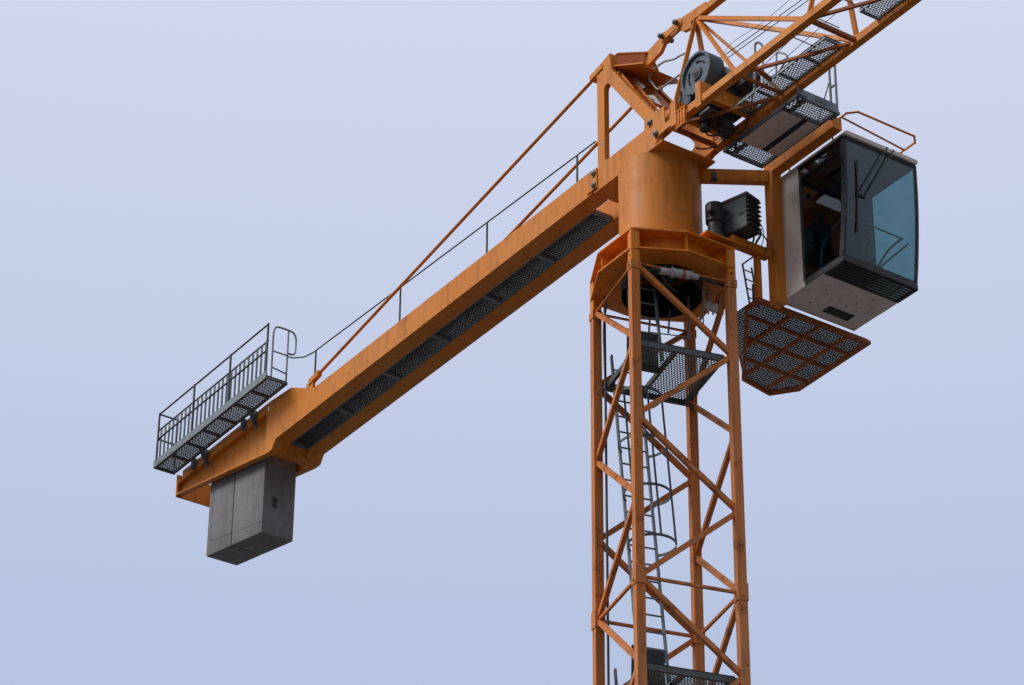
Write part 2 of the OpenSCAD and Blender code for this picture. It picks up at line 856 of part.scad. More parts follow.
winch_x = 1340;
winch_z = drum_top + 940;
module winch_frame() {
  cheek_t = 20;
  y = side_y + chord_w / 2 + seat + cheek_t;
  top = winch_z - 430;
  color(orange)
    for (x = [winch_x - 300, winch_x + 300]) {
      block([x - 50, -y, chord_z + chord_w / 2 + seat], [x + 50, y, top]);
      for (s = [-1, 1])
        block([x - 60, s > 0 ? y - cheek_t : -y, chord_z - chord_w / 2 - 60],
              [x + 60, s > 0 ? y : -y + cheek_t, top]);
    }
}

module winch_casing() {
  foot = 430 - seat;
  hood_r = 350;
  rim_t = 40;
  color("#6e7e8a")
    translate([winch_x, 0, winch_z]) {
      difference() {
        translate([0, -60, 0])
          rotate([90, 0, 0])
            cylinder(r = hood_r, h = 270, $fn = 64);
        translate([0, -60 - 270 + rim_t, 0])
          rotate([90, 0, 0])
            cylinder(r = hood_r - rim_t, h = rim_t + 1, $fn = 64);
      }
      translate([0, -60 - 270 + rim_t + 1, 0])
        rotate([90, 0, 0])
          cylinder(r = 110, h = 30, $fn = 32);
      upright(-155, 190)
        polygon([[-320, 120], [-570, -180], [-545, -245], [-240, -foot], [100, -foot], [100, -200], [-200, 120]]);
      translate([0, -61, 0])
        rotate([-90, 0, 0])
          cylinder(r = 240, h = 381, $fn = 64);
      block([-350, 220, -foot], [-100, 320, 0]);
    }
}

module winch_motor() {
  color(dark)
    translate([winch_x + 345, -50, winch_z - 200]) {
      rotate([-90, 0, 0])
        cylinder(r = 150, h = 380, $fn = 48);
      block([-80, 60, -230 + seat], [20, 340, 0]);
    }
}

module hoist_ropes() {
  color(dark)
    for (y = [-40, 40])
      rod([winch_x, y, winch_z + 240 + rope_d / 2 + seat],
          [node_x[jib_bays], y, chord_z + jib_strut_w / 2 + rope_d / 2 + 2 * seat], rope_d, 8);
}

// Platform beside the jib: frame, two plates in its middle, and the handrail at its outer end
service_x0 = 1050;
service_x1 = 2800;
service_y0 = side_y + chord_w / 2 + 20;
service_y1 = 1120;
service_z = chord_z - 250;
service_h = 60;
service_plate_x0 = 1450;
service_plate_x1 = service_x1 - service_plate_x0 + service_x0;
module service_platform() {
  edge = 40;
  post_d = 40;
  post_y = service_y1 + post_d / 2 + 5;
  color(zinc) {
    for (y = [service_y0, service_y1 - edge])
      block([service_x0, y, service_z], [service_x1, y + edge, service_z + service_h]);
    for (x = [service_x0, service_plate_x0 - edge / 2, (service_x0 + service_x1) / 2 - edge / 2,
              service_plate_x1 - edge / 2, service_x1 - edge])
      block([x, service_y0, service_z], [x + edge, service_y1, service_z + service_h]);
    for (s = [0, 1])
      block([s > 0 ? (service_x0 + service_x1) / 2 + 8 : service_plate_x0 + seat, service_y0 + 3,
             service_z + service_h - 2],
            [s > 0 ? service_plate_x1 - seat : (service_x0 + service_x1) / 2 - 8, service_y1 - 3,
             service_z + service_h + mesh_t]);
    for (x = [service_x0 + 100, service_x1 - 200]) {
      block([x, service_y0 - 20 + seat, service_z], [x + 60, service_y0 - seat, chord_z + 40]);
      block([x, service_y0 - 1, service_z + 3], [x + 60, service_y0 + 2, service_z + service_h - 3]);
    }
    block([service_x1 - 195, service_y1 - 2, service_z + 3], [service_x1 - 4, service_y1 + post_d + 10, service_z + 45]);
    for (x = [service_x1 - 160, service_x1 - 35])
      rod([x, post_y, service_z + 30], [x, post_y, service_z + rail_h], post_d, 12);
    for (h = [rail_h / 2, rail_h - post_d / 2])
      rod([service_x1 - 160, post_y, service_z + h], [service_x1 - 35, post_y, service_z + h], post_d - 8, 12);
  }
}

counter_z0 = drum_top + 20;
counter_x0 = -1050;
counter_x1 = counter_x0 - counter_l;
frame_x1 = counter_x1 - ballast_frame_l;
ear_t = 20;
tie_lug = [counter_x1 + tie_reach, counter_z0 + counter_h + 220];
tie_lug_t = 40;
hump_h = 440;
foot_drop = 160;
counter_gap = 2 * (side_y + side_t / 2 - counter_w);
module counter_beam_profile() {
  top = counter_z0 + counter_h;
  polygon([[counter_x1, counter_z0 - foot_drop], [counter_x1 + 150, counter_z0 - foot_drop],
           [counter_x1 + 260, counter_z0], [counter_x0, counter_z0], [counter_x0, top],
           [counter_x1 + 1500, top], [counter_x1 + 720, top + hump_h - 60], [counter_x1, top + hump_h]]);
}

module counter_jib_beams() {
  color(orange) {
    for (s = [-1, 1])
      mirror([0, s > 0 ? 0 : 1, 0]) {
        difference() {
          union() {
            upright(side_y + side_t / 2 - counter_w / 2, counter_w)
              counter_beam_profile();
            for (y = [side_y + side_t / 2 + seat, side_y - side_t / 2 - seat - ear_t])
              block([counter_x0 - 100, y, rear_pins[1] - lug_r],
                    [rear_pin_x + lug_r, y + ear_t, rear_pins[0] + lug_r]);
            block([counter_x0 - 100, side_y + side_t / 2 - 20, rear_pins[1] - lug_r],
                  [counter_x0 - 5, side_y + side_t / 2 + seat + ear_t, rear_pins[0] + lug_r]);
            translate([tie_lug.x, side_y + tie_lug_t / 2, tie_lug.y])
              rotate([90, 0, 0])
                cylinder(r = lug_r, h = tie_lug_t, $fn = 48);
            block([tie_lug.x - 150, side_y - tie_lug_t / 2, counter_z0 + counter_h - 20],
                  [tie_lug.x + lug_r + 5, side_y + tie_lug_t / 2, tie_lug.y]);
          }
          translate([tie_lug.x, side_y, tie_lug.y])
            rotate([90, 0, 0])
              cylinder(d = pin_d, h = 200, center = true, $fn = 32);
        }
        for (z = rear_pins)
          translate([rear_pin_x, side_y, z])
            rotate([90, 0, 0])
              cylinder(d = pin_d - 2 * seat, h = side_t + 2 * (seat + ear_t), center = true, $fn = 32);
      }
    block([counter_x1, -counter_gap / 2 - 10, counter_z0 - foot_drop],
          [counter_x1 + 150, counter_gap / 2 + 10, counter_z0 + counter_h]);
  }
}

counter_panels = 6;
counter_floor_z = counter_z0 + 70;
function counter_rib_x(k) =
  counter_x0 - 460 - k * (counter_x0 - counter_x1 - 460 - 210) / counter_panels;
module counter_jib_walkway() {
  y = counter_gap / 2 - seat;
  edge = 30;
  low = counter_z0 + 10;
  color(zinc) {
    for (s = [-1, 1])
      block([counter_rib_x(counter_panels), s > 0 ? y - edge : -y, low],
            [counter_rib_x(0) + 60, s > 0 ? y : -y + edge, counter_floor_z]);
    for (k = [0:counter_panels])
      block([counter_rib_x(k), -y, low], [counter_rib_x(k) + 60, y, counter_floor_z]);
  }
}

module counter_jib_rail() {
  post_h = rail_h - 100;
  y = side_y + side_t / 2 + 20 + seat;
  color(dark)
    for (k = [0:6]) {
      x = counter_x0 - (k + 1) * post_pitch;
      rod([x, y, counter_z0 + counter_h - 80], [x, y, counter_z0 + counter_h + post_h], 40, 12);
      if (k < 6)
        for (h = [post_h / 2, post_h])
          rod([x, y, counter_z0 + counter_h + h - 20], [x - post_pitch, y, counter_z0 + counter_h + h - 20],
              34, 12);
    }
}

// End of a tie bar: fork with its pin round a plate of thickness t, the bar leaving along +X
module tie_fork(t) {
  for (y = [t / 2 + seat, -t / 2 - seat - ear_t])
    block([-50, y, -50], [270, y + ear_t, 50]);
  block([190, -t / 2 - seat - ear_t, -50], [270, t / 2 + seat + ear_t, 50]);
  translate([0, t / 2 + seat + ear_t, 0])
    rotate([90, 0, 0])
      cylinder(d = pin_d - 2 * seat, h = t + 2 * (seat + ear_t), $fn = 32);
}

module tie_bars() {
  a = [tie_pin.x, tie_pin.y];
  b = tie_lug;
  v = b - a;
  slope = atan2(v.y, v.x);
  color(orange)
    for (s = [-1, 1])
      translate([a.x, s * side_y, a.y])
        rotate([0, -slope, 0]) {
          tie_fork(side_t);
          translate([230, 0, 0])
            rotate([0, 90, 0])
              cylinder(d = tie_d, h = norm(v) - 460, $fn = 16);
          translate([norm(v), 0, 0])
            rotate([0, 180, 0])
              tie_fork(tie_lug_t);
        }
}

module ballast_frame() {
  y = side_y + side_t / 2;
  beam_w = 120;
  web = 30;
  lip = 28;
  front = counter_x1 - 20 - seat;
  low = counter_z0 - foot_drop;
  tail_low = counter_z0 + 450;
  top = counter_z0 + 700;
  plate_top = counter_z0 + 870;
  color(orange) {
    for (s = [-1, 1])
      mirror([0, s > 0 ? 0 : 1, 0])
        difference() {
          upright(y - beam_w / 2, beam_w)
            polygon([[front, low], [frame_x1, tail_low], [frame_x1, top], [front, top]]);
          upright(y - (beam_w - web) / 2 + 1, beam_w - web)
            polygon([[front - 60, low + lip + 22], [frame_x1 + lip, tail_low + lip], [frame_x1 + lip, top - lip],
                     [front - 60, top - lip]]);
        }
    block([counter_x1 - 40 - seat, -y, low], [counter_x1 - seat, y, plate_top]);
    block([frame_x1 - 30, -y, tail_low - 30], [frame_x1 + small, y, plate_top]);
    for (x = hanger_x) {
      block([x - 60, -y + beam_w - 10, top - 120], [x + 60, y - beam_w + 10, top]);
      translate([x, 0, ballast_top - 300])
        cylinder(d = 50, h = top - 50 - ballast_top + 300, $fn = 24);
    }
  }
}

ballast_x0 = counter_x1 - 370 - ballast_l;
ballast_top = counter_z0 + 440;
hanger_x = [ballast_x0 + 500, ballast_x0 + ballast_l - 500];
module ballast_block() {
  chamfer = 60;
  groove_x = ballast_x0 + 0.52 * ballast_l;
  groove = 22;
  slot_w = 100;
  slot_h = 220;
  slot_z = ballast_top - 0.34 * ballast_h;
  front = ballast_x0 + ballast_l;
  low = ballast_top - ballast_h;
  color(concrete_grey)
    difference() {
      upright(0, ballast_w)
        polygon([[ballast_x0, low + ballast_rise + chamfer], [ballast_x0, ballast_top], [front, ballast_top],
                 [front, low + chamfer], [front - chamfer, low + ballast_rise * chamfer / ballast_l],
                 [ballast_x0 + chamfer, low + ballast_rise * (1 - chamfer / ballast_l)]]);
      for (x = hanger_x)
        translate([x, 0, ballast_top - 300 - seat])
          cylinder(d = 50 + 2 * seat, h = 400, $fn = 24);
      for (s = [-1, 1])
        translate([groove_x, s * ballast_w / 2, low])
          rotate([0, 0, 45])
            translate([-groove / 2, -groove / 2, -10])
              cube([groove, groove, ballast_h + 20]);
      translate([front, 0, slot_z])
        block([-80, -slot_w / 2, -slot_h / 2], [10, slot_w / 2, slot_h / 2]);
    }
}

platform_y = side_y + side_t / 2;
platform_z = counter_z0 + 870 + seat;
walk_frame_h = 45;
ballast_walk_x0 = counter_x1 - walk_back_l;
ballast_walk_x1 = counter_x1 + walk_front_l;
ballast_walk_y0 = -platform_y - 480;
ballast_walk_y1 = -platform_y - 50;
module ballast_platform() {
  edge = 40;
  kick_h = 150;
  ribs = 7;
  color(zinc) {
    for (y = [ballast_walk_y0, ballast_walk_y1 - edge])
      block([ballast_walk_x0, y, platform_z], [ballast_walk_x1, y + edge, platform_z + walk_frame_h]);
    for (i = [0:ribs]) {
      x = ballast_walk_x0 + i * (ballast_walk_x1 - ballast_walk_x0 - edge) / ribs;
      block([x, ballast_walk_y0, platform_z], [x + edge, ballast_walk_y1, platform_z + walk_frame_h]);
    }
    block([ballast_walk_x0, ballast_walk_y0 - 6, platform_z], [ballast_walk_x1, ballast_walk_y0 + small, platform_z + kick_h]);
    for (x = [ballast_walk_x0 + 700, counter_x1 - 900])
      block([x, -platform_y - 80, platform_z - 200], [x + 80, -platform_y - seat, platform_z + 10]);
  }
}

module ballast_rail() {
  z = platform_z + walk_frame_h + mesh_t + 2 * seat;
  y = ballast_walk_y0 + 25;
  pitch = (ballast_walk_x1 - ballast_walk_x0 - 120) / 3;
  color(dark) {
    for (k = [0:3]) {
      x = ballast_walk_x0 + 40 + k * pitch;
      rod([x, y, z], [x, y, z + rail_h], 40, 12);
      if (k < 3)
        for (h = [rail_h / 2, rail_h - 20])
          rod([x, y, z + h], [x + pitch, y, z + h], 34, 12);
    }
    x = ballast_walk_x0 + 40;
    rod([x, y + 380, z], [x, y + 380, z + rail_h], 40, 12);
    for (h = [rail_h / 2, rail_h - 20])
      rod([x, y, z + h], [x, y + 380, z + h], 34, 12);
  }
}

// Cab position
cab_x0 = 940;
cab_z0 = mast_top - 50;
cab_z1 = cab_z0 + cab_h;
cab_y1 = cab_y0 + cab_w;
beam_top = cab_z1 + 220;
module cab_frame() {
  post_w = 180;
  y = cab_y0 - post_w - seat;
  color(orange) {
    block([cab_x0 - 30, y, cab_z0 - 100], [cab_x0 + 150, y + post_w, beam_top]);
    block([cab_x0 + 120, y, cab_z1 + 20], [cab_x0 + 1560, y + post_w, beam_top]);
    block([820, 560, drum_z0 + 30 + seat], [980, y + 20, drum_z0 + 150]);
    block([820, 1070, cab_z0 - 10 + seat], [900, 1150, drum_z0 + 60]);
    difference() {
      bar([350, 300, drum_top - 110], [cab_x0 + 40, y + 20, drum_top - 110], 120, 200);
      cylinder(r = drum_r + seat, h = drum_top + 100, $fn = 96);
    }
  }
}

// Guard hoop on the cab's roof, level and reaching out over the windscreen
module roof_rail() {
  d = 34;
  bend = 120;
  x0 = cab_x0 + 260;
  x1 = foot_x + screen_lean + 180;
  y0 = cab_y0 + 40;
  y1 = cab_y1 - 40;
  z = cab_z1 + 300;
  path = [[x0, y0, z], [x1 - bend, y0, z], [x1, y0 + bend, z], [x1, y1 - bend, z], [x1 - bend, y1, z], [x0, y1, z]];
  color(orange) {
    for (i = [0:4])
      rod(path[i], path[i + 1], d, 8);
    for (i = [1:4])
      translate(path[i])
        sphere(d = d + 6, $fn = 24);
    for (x = [x0 + 40, foot_x - 120])
      for (y = [y0, y1])
        rod([x, y, cab_z1 + seat], [x, y, z], d - 6, 8);
  }
}

// Access platform behind the cab: edge frame and ribs, the mesh lies on it
cab_platform_h = 60;
cab_platform_z = cab_z0 - 90;
cab_platform_plan = [[600, 1060], [cab_x0 - 30 - seat, 1060], [cab_x0 - 30 - seat, cab_y1 + 350],
                     [-800, cab_y1 + 380], [-1180, cab_y1 + 90], [-1050, 2300]];
module cab_platform() {
  edge = 60;
  corners = len(cab_platform_plan);
  color(orange)
    intersection() {
      translate([0, 0, cab_platform_z])
        linear_extrude(cab_platform_h)
          polygon(cab_platform_plan);
      union() {
        for (i = [0:corners - 1]) {
          a = cab_platform_plan[i];
          b = cab_platform_plan[(i + 1) % corners];
          bar([a.x, a.y, cab_platform_z + 40], [b.x, b.y, cab_platform_z + 40], 2 * edge, 200);
        }
        for (y = [1750, 2280, 2800])
          block([-1500, y - 25, cab_platform_z + 10], [1000, y + 25, cab_platform_z + cab_platform_h + 10]);
        for (x = [-560, -60, 440])
          block([x - 20, 1000, cab_platform_z + 15], [x + 20, 3400, cab_platform_z + cab_platform_h + 10]);
      }
    }
}

floor_h = 80;
roof_h = 70;
screen_z0 = cab_z0 + floor_h + seat;
screen_z1 = cab_z1 - roof_h - seat;
foot_x = cab_x0 + cab_l;
screen_tilt = atan(screen_lean / (screen_z1 - screen_z0));

module cab_floor() {
  pane_d = 330;
  color(beige)
    difference() {
      block([cab_x0, cab_y0, cab_z0], [foot_x, cab_y1, cab_z0 + floor_h]);
      block([foot_x - pane_d, cab_y0 + 60, cab_z0 - 10], [foot_x - 50, cab_y1 - 60, cab_z0 + 200]);
      block([cab_x0 + 150, cab_y0 + 640, cab_z0 - 10], [cab_x0 + 350, cab_y0 + 1140, cab_z0 + floor_h - 20]);
    }
}

module cab_roof() {
  edge_r = 35;
  color(beige)
    translate([cab_x0, 0, 0])
      rotate([90, 0, 90])
        linear_extrude(cab_l + screen_lean + roof_nose)
          polygon(rounded([[cab_y0 + edge_r, cab_z1 - roof_h + edge_r], [cab_y1 - edge_r, cab_z1 - roof_h + edge_r],
                           [cab_y1 - edge_r, cab_z1 - edge_r], [cab_y0 + edge_r, cab_z1 - edge_r]], edge_r));
}

module cab_walls() {
  color(beige) {
    block([cab_x0, cab_y0, screen_z0], [cab_x0 + cab_wall, cab_y1, screen_z1]);
    for (y = [cab_y0, cab_y1 - cab_wall])
      block([cab_x0 + cab_wall - small, y, screen_z0], [cab_x0 + 560, y + cab_wall, screen_z1]);
  }
}

// X of the windscreen's outer face at a share of its height
function screen_x(share) = foot_x + screen_lean * share + 4 * screen_bulge * share * (1 - share);
screen_steps = 8;
// Side panes and the windscreen in one piece, open at the rear
module cab_glass() {
  rear = cab_x0 + 560 + seat;
  rise = screen_z1 - screen_z0;
  color(glass_blue)
    difference() {
      upright((cab_y0 + cab_y1) / 2, cab_w)
        polygon([[rear, screen_z0],
                 for (i = [0:screen_steps]) [screen_x(i / screen_steps), screen_z0 + rise * i / screen_steps],
                 [rear, screen_z1]]);
      upright((cab_y0 + cab_y1) / 2, cab_w - 2 * glass_t)
        polygon([[cab_x0, screen_z0 - 100],
                 for (i = [-1:screen_steps + 1])
                   [screen_x(i / screen_steps) - glass_t / cos(screen_tilt), screen_z0 + rise * i / screen_steps],
                 [cab_x0, screen_z1 + 100]]);
    }
}

module cab_seat() {
  z = cab_z0 + floor_h + seat;
  ym = (cab_y0 + cab_y1) / 2;
  x = cab_x0 + 330;
  cushion_r = 45;
  color(dark) {
    block([x + 120, ym - 170, z], [x + 460, ym + 170, z + 40]);
    block([x + 190, ym - 90, z + 30], [x + 390, ym + 90, z + 330]);
    upright(ym, 500)
      polygon(rounded([[x + 60, z + 360], [x + 480, z + 375], [x + 480, z + 425], [x + 60, z + 415]], cushion_r));
    upright(ym, 470)
      polygon(rounded([[x + 40, z + 400], [x + 110, z + 400], [x + 10, z + 1010], [x - 45, z + 1000]], cushion_r));
    for (s = [-1, 1]) {
      block([x + 90, ym + s * 340 - 75, z + 560], [x + 510, ym + s * 340 + 75, z + 660]);
      block([x + 90, ym + (s > 0 ? 235 : -415), z + 400], [x + 190, ym + (s > 0 ? 415 : -235), z + 570]);
      translate([x + 440, ym + s * 340, z + 650])
        cylinder(d = 46, h = 170, $fn = 24);
    }
    block([x + 90, ym - 420, z + 400], [x + 180, ym + 420, z + 450]);
  }
}

// Wiper: two parallel arms that carry the upright blade, in a plane in front of the windscreen
wiper_gap = 24;
wiper_x = foot_x + screen_lean + roof_nose + wiper_gap;
wiper_y = cab_y0 + 782;
wiper_z = cab_z1 - 30;
arm_l = 1120;
arm_turn = 29.4;
arm_gap = 120;
spindle_r = 9;
spindle_l = (wiper_gap - seat - spindle_r * sin(screen_tilt)) / cos(screen_tilt);
module on_screen() {
  translate([wiper_x, wiper_y, wiper_z])
    rotate([0, screen_tilt, 0])
      children();
}

// Flat arm with round ends, hung from its spindle; the hole at its foot takes a blade pin
module wiper_rod(hole_r) {
  rotate([-arm_turn, 0, 0]) {
    rotate([0, 90, 0])
      linear_extrude(8)
        difference() {
          union() {
            translate([0, -8])
              square([arm_l, 16]);
            for (x = [0, arm_l])
              translate([x, 0])
                circle(r = 14, $fn = 24);
          }
          translate([arm_l, 0])
            circle(r = hole_r, $fn = 24);
        }
    rotate([0, -90, 0])
      cylinder(r = spindle_r, h = spindle_l, $fn = 24);
  }
}

module wiper_arm() {
  color(dark)
    on_screen()
      wiper_rod(blade_pin_r + 0.08);
}

module wiper_link() {
  color(dark)
    on_screen()
      translate([0, arm_gap, 0])
        wiper_rod(blade_pin_r + 2);
}

blade_pin_r = 6;
module wiper_blade() {
  color(dark)
    on_screen()
      translate([0, -arm_l * sin(arm_turn), -arm_l * cos(arm_turn)]) {
        block([-14, -30, -25], [-6, arm_gap + 20, 25]);
        block([-22, -20, -630], [-8, 0, 565]);
        for (y = [0, arm_gap])
          translate([-10, y, 0])
            rotate([0, 90, 0])
              cylinder(r = blade_pin_r, h = 20, $fn = 24);
      }
}

base_frame();
mast_legs();
mast_side_at(0);  // mast_side_front
mast_side_at(90);  // mast_side_right
mast_side_at(180);  // mast_side_back
mast_side_at(270);  // mast_side_left
mast_ladder();
ladder_cage();
rest_platforms();
rest_platform_mesh();
hatch_lids();
power_cable();
ring_support();
slew_ring();
pivot_drum();
slewing_motor();
resistor_box();
motor_cables();
head_sides();
head_floor();
head_cross_beam();
head_link();
jib_chords();
jib_side(-1);  // jib_side_near
jib_side(1);  // jib_side_far
jib_floor_lattice();
jib_walkway();
hoist_ropes();
winch_frame();
winch_casing();
winch_motor();
service_platform();
walkway_mesh();
counter_jib_beams();
counter_jib_walkway();
counter_jib_rail();
tie_bars();
ballast_frame();
ballast_block();
ballast_platform();
ballast_rail();
cab_frame();
roof_rail();
cab_platform();
cab_floor();
cab_roof();
cab_walls();
cab_glass();
cab_seat();
wiper_arm();
wiper_link();
wiper_blade();
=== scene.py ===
import json
import math

import bpy
from mathutils import Matrix, Vector


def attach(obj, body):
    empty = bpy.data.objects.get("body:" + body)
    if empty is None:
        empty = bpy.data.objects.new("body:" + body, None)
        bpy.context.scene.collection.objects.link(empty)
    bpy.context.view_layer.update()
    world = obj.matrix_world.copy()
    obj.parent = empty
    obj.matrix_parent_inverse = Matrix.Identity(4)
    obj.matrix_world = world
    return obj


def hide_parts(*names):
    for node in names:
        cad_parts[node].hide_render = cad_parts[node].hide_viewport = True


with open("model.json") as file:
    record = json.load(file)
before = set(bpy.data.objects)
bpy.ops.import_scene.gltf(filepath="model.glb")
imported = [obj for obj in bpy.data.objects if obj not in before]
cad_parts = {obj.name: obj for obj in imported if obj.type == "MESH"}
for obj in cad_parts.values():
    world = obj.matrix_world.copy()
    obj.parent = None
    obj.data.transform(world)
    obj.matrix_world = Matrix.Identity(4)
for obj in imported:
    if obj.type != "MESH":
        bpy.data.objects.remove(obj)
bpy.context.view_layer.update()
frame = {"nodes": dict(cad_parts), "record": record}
nodes = frame["nodes"]
bpy.ops.object.select_all(action="DESELECT")

mast_top = 25.3
mast_turn = math.radians(-14.6)


# Node steps shared by the sky, the floor and the finishes

def added(tree, kind, numbers):
    """A new node with its numbers set."""
    node = tree.nodes.new(kind)
    for socket, number in numbers.items():
        node.inputs[socket].default_value = number
    return node


def ramp(tree, value, low, high, bottom=0.0, top=1.0):
    """Turns what goes from low to high into what goes from bottom to top."""
    numbers = {"From Min": low, "From Max": high, "To Min": bottom, "To Max": top}
    node = added(tree, "ShaderNodeMapRange", numbers)
    tree.links.new(value, node.inputs["Value"])
    return node.outputs["Result"]


def mixed(tree, share, base, over):
    """Mixes two colours, or the outputs that bring them, by the share of the second."""
    node = tree.nodes.new("ShaderNodeMix")
    node.data_type = "RGBA"
    tree.links.new(share, node.inputs["Factor"])
    for value, socket in ((base, node.inputs["A"]), (over, node.inputs["B"])):
        if isinstance(value, tuple):
            socket.default_value = value + (1.0,)
        else:
            tree.links.new(value, socket)
    return node.outputs["Result"]


# Camera, light and stage

def add_camera():
    """The photo's view, solved on the pieces that show."""
    bpy.ops.object.camera_add(location=(29.268859, -22.615186, mast_top - 22.75054))
    camera = bpy.context.object
    right = Vector((0.566964, 0.823712, 0.00708))
    up = Vector((0.41768, -0.294877, 0.859413))
    back = Vector((0.709997, -0.484299, -0.511233))
    turn = Matrix((right, up, back)).transposed().to_4x4()
    camera.matrix_world = Matrix.Translation(camera.location) @ turn
    sensor, focal_pixels, photo_width = 36.0, 2968.3856, 1024.0
    camera.data.sensor_fit = "HORIZONTAL"
    camera.data.sensor_width = sensor
    camera.data.lens = focal_pixels * sensor / photo_width
    camera.data.clip_end = 1000.0
    bpy.context.scene.camera = camera


def add_sun():
    """Soft sun, as behind thin cloud, high up on the side away from the cab."""
    bpy.ops.object.light_add(type="SUN", location=(20, -30, 60))
    sun = bpy.context.object
    sun.name = "key_lamp"
    sun.data.energy = 2.75
    sun.data.angle = math.radians(28)
    sun.data.color = (1.0, 0.97, 0.92)
    sun.rotation_euler = Vector((0.25, 0.6, -0.7)).to_track_quat("-Z", "Y").to_euler()


def add_sky():
    """Pale sky behind the crane, darker in what gloss mirrors; its light falls mostly from above."""
    world = bpy.data.worlds.new("overcast")
    bpy.context.scene.world = world
    world.use_nodes = True
    tree = world.node_tree
    tree.nodes.clear()
    out = tree.nodes.new("ShaderNodeOutputWorld")
    place = tree.nodes.new("ShaderNodeTexCoord")
    split = tree.nodes.new("ShaderNodeSeparateXYZ")
    tree.links.new(place.outputs["Generated"], split.inputs[0])

    def glow(low_colour, high_colour, low, high, strength=1.0):
        share = ramp(tree, split.outputs["Z"], low, high)
        node = added(tree, "ShaderNodeBackground", {"Strength": strength})
        tree.links.new(mixed(tree, share, low_colour, high_colour), node.inputs["Color"])
        return node.outputs[0]

    def choose(a, b, fac):
        mix = tree.nodes.new("ShaderNodeMixShader")
        for output, socket in zip((fac, a, b), mix.inputs):
            tree.links.new(output, socket)
        return mix.outputs[0]

    seen = glow((0.47, 0.55, 0.75), (0.645, 0.695, 0.865), 0.42, 0.62)
    mirrored = glow((0.09, 0.115, 0.15), (0.55, 0.62, 0.78), -0.15, 0.25)
    light = glow((0.055, 0.052, 0.055), (0.86, 0.92, 1.0), -0.2, 0.7, 0.8)
    path = tree.nodes.new("ShaderNodeLightPath")
    through = tree.nodes.new("ShaderNodeMath")
    through.operation = "MAXIMUM"
    tree.links.new(path.outputs["Is Camera Ray"], through.inputs[0])
    tree.links.new(path.outputs["Is Transmission Ray"], through.inputs[1])
    sky = choose(light, mirrored, path.outputs["Is Glossy Ray"])
    tree.links.new(choose(sky, seen, through.outputs[0]), out.inputs["Surface"])
    bpy.context.scene.view_settings.view_transform = "Standard"


def add_floor():
    """Pale to the eye, duller in the light that it throws back."""
    bpy.ops.mesh.primitive_plane_add(size=1200, location=(0, 0, 0))
    floor = bpy.context.object
    floor.name = "floor"
    mat = bpy.data.materials.new("pale_floor")
    mat.use_nodes = True
    tree = mat.node_tree
    shader = tree.nodes["Principled BSDF"]
    shader.inputs["Roughness"].default_value = 0.9
    path = tree.nodes.new("ShaderNodeLightPath")
    colour = mixed(tree, path.outputs["Is Camera Ray"], (0.085, 0.08, 0.08), (0.62, 0.63, 0.65))
    tree.links.new(colour, shader.inputs["Base Color"])
    floor.data.materials.append(mat)


# Finishes

class Finish:
    """A material whose nodes are added one after the other."""

    def __init__(self, name):
        self.material = bpy.data.materials.new(name)
        self.material.use_nodes = True
        self.tree = self.material.node_tree
        self.shader = self.tree.nodes["Principled BSDF"]
        self.place = self.tree.nodes.new("ShaderNodeTexCoord").outputs["Object"]

    def link(self, a, b):
        self.tree.links.new(a, b)

    def noise(self, scale, detail=4.0, rough=0.55, stretch=None):
        numbers = {"Scale": scale, "Detail": detail, "Roughness": rough}
        node = added(self.tree, "ShaderNodeTexNoise", numbers)
        place = self.place
        if stretch:
            mapping = added(self.tree, "ShaderNodeMapping", {"Scale": stretch})
            self.link(place, mapping.inputs["Vector"])
            place = mapping.outputs["Vector"]
        self.link(place, node.inputs["Vector"])
        return node.outputs["Fac"]

    def steps(self, value, low, high, top=1.0, bottom=0.0):
        return ramp(self.tree, value, low, high, bottom, top)

    def times(self, a, b):
        node = self.tree.nodes.new("ShaderNodeMath")
        node.operation = "MULTIPLY"
        self.link(a, node.inputs[0])
        self.link(b, node.inputs[1])
        return node.outputs[0]

    def blend(self, base, over, amount):
        return mixed(self.tree, amount, base, over)

    def bump(self, height, strength, distance):
        node = added(self.tree, "ShaderNodeBump", {"Strength": strength, "Distance": distance})
        self.link(height, node.inputs["Height"])
        self.link(node.outputs["Normal"], self.shader.inputs["Normal"])

    def colour(self, value):
        self.link(value, self.shader.inputs["Base Color"])

    def roughness(self, value, low, high):
        self.link(self.steps(value, 0.3, 0.7, high, low), self.shader.inputs["Roughness"])

    def fix(self, socket, number):
        self.shader.inputs[socket].default_value = number


def weathered_paint(name, paint, faded, grime, rust, rust_from=0.66, rough=(0.38, 0.62), grime_share=0.55):
    """Paint with faded areas, runs and patches of grime, and rust spots."""
    f = Finish(name)
    broad = f.noise(0.45, 3.0)
    patch = f.noise(3.2, 6.0, 0.62)
    fine = f.noise(38.0, 5.0, 0.6)
    runs = f.noise(2.2, 5.0, 0.6, stretch=(5.0, 5.0, 0.55))
    base = f.blend(paint, faded, f.steps(broad, 0.38, 0.68))
    base = f.blend(base, grime, f.steps(runs, 0.5, 0.8, grime_share))
    base = f.blend(base, grime, f.steps(patch, 0.56, 0.8, grime_share * 0.8))
    spots = f.times(f.steps(patch, rust_from, rust_from + 0.08), f.steps(fine, 0.42, 0.6))
    base = f.blend(base, rust, spots)
    f.colour(base)
    f.roughness(patch, *rough)
    f.bump(fine, 0.12, 0.002)
    f.fix("Specular IOR Level", 0.22)
    return f.material


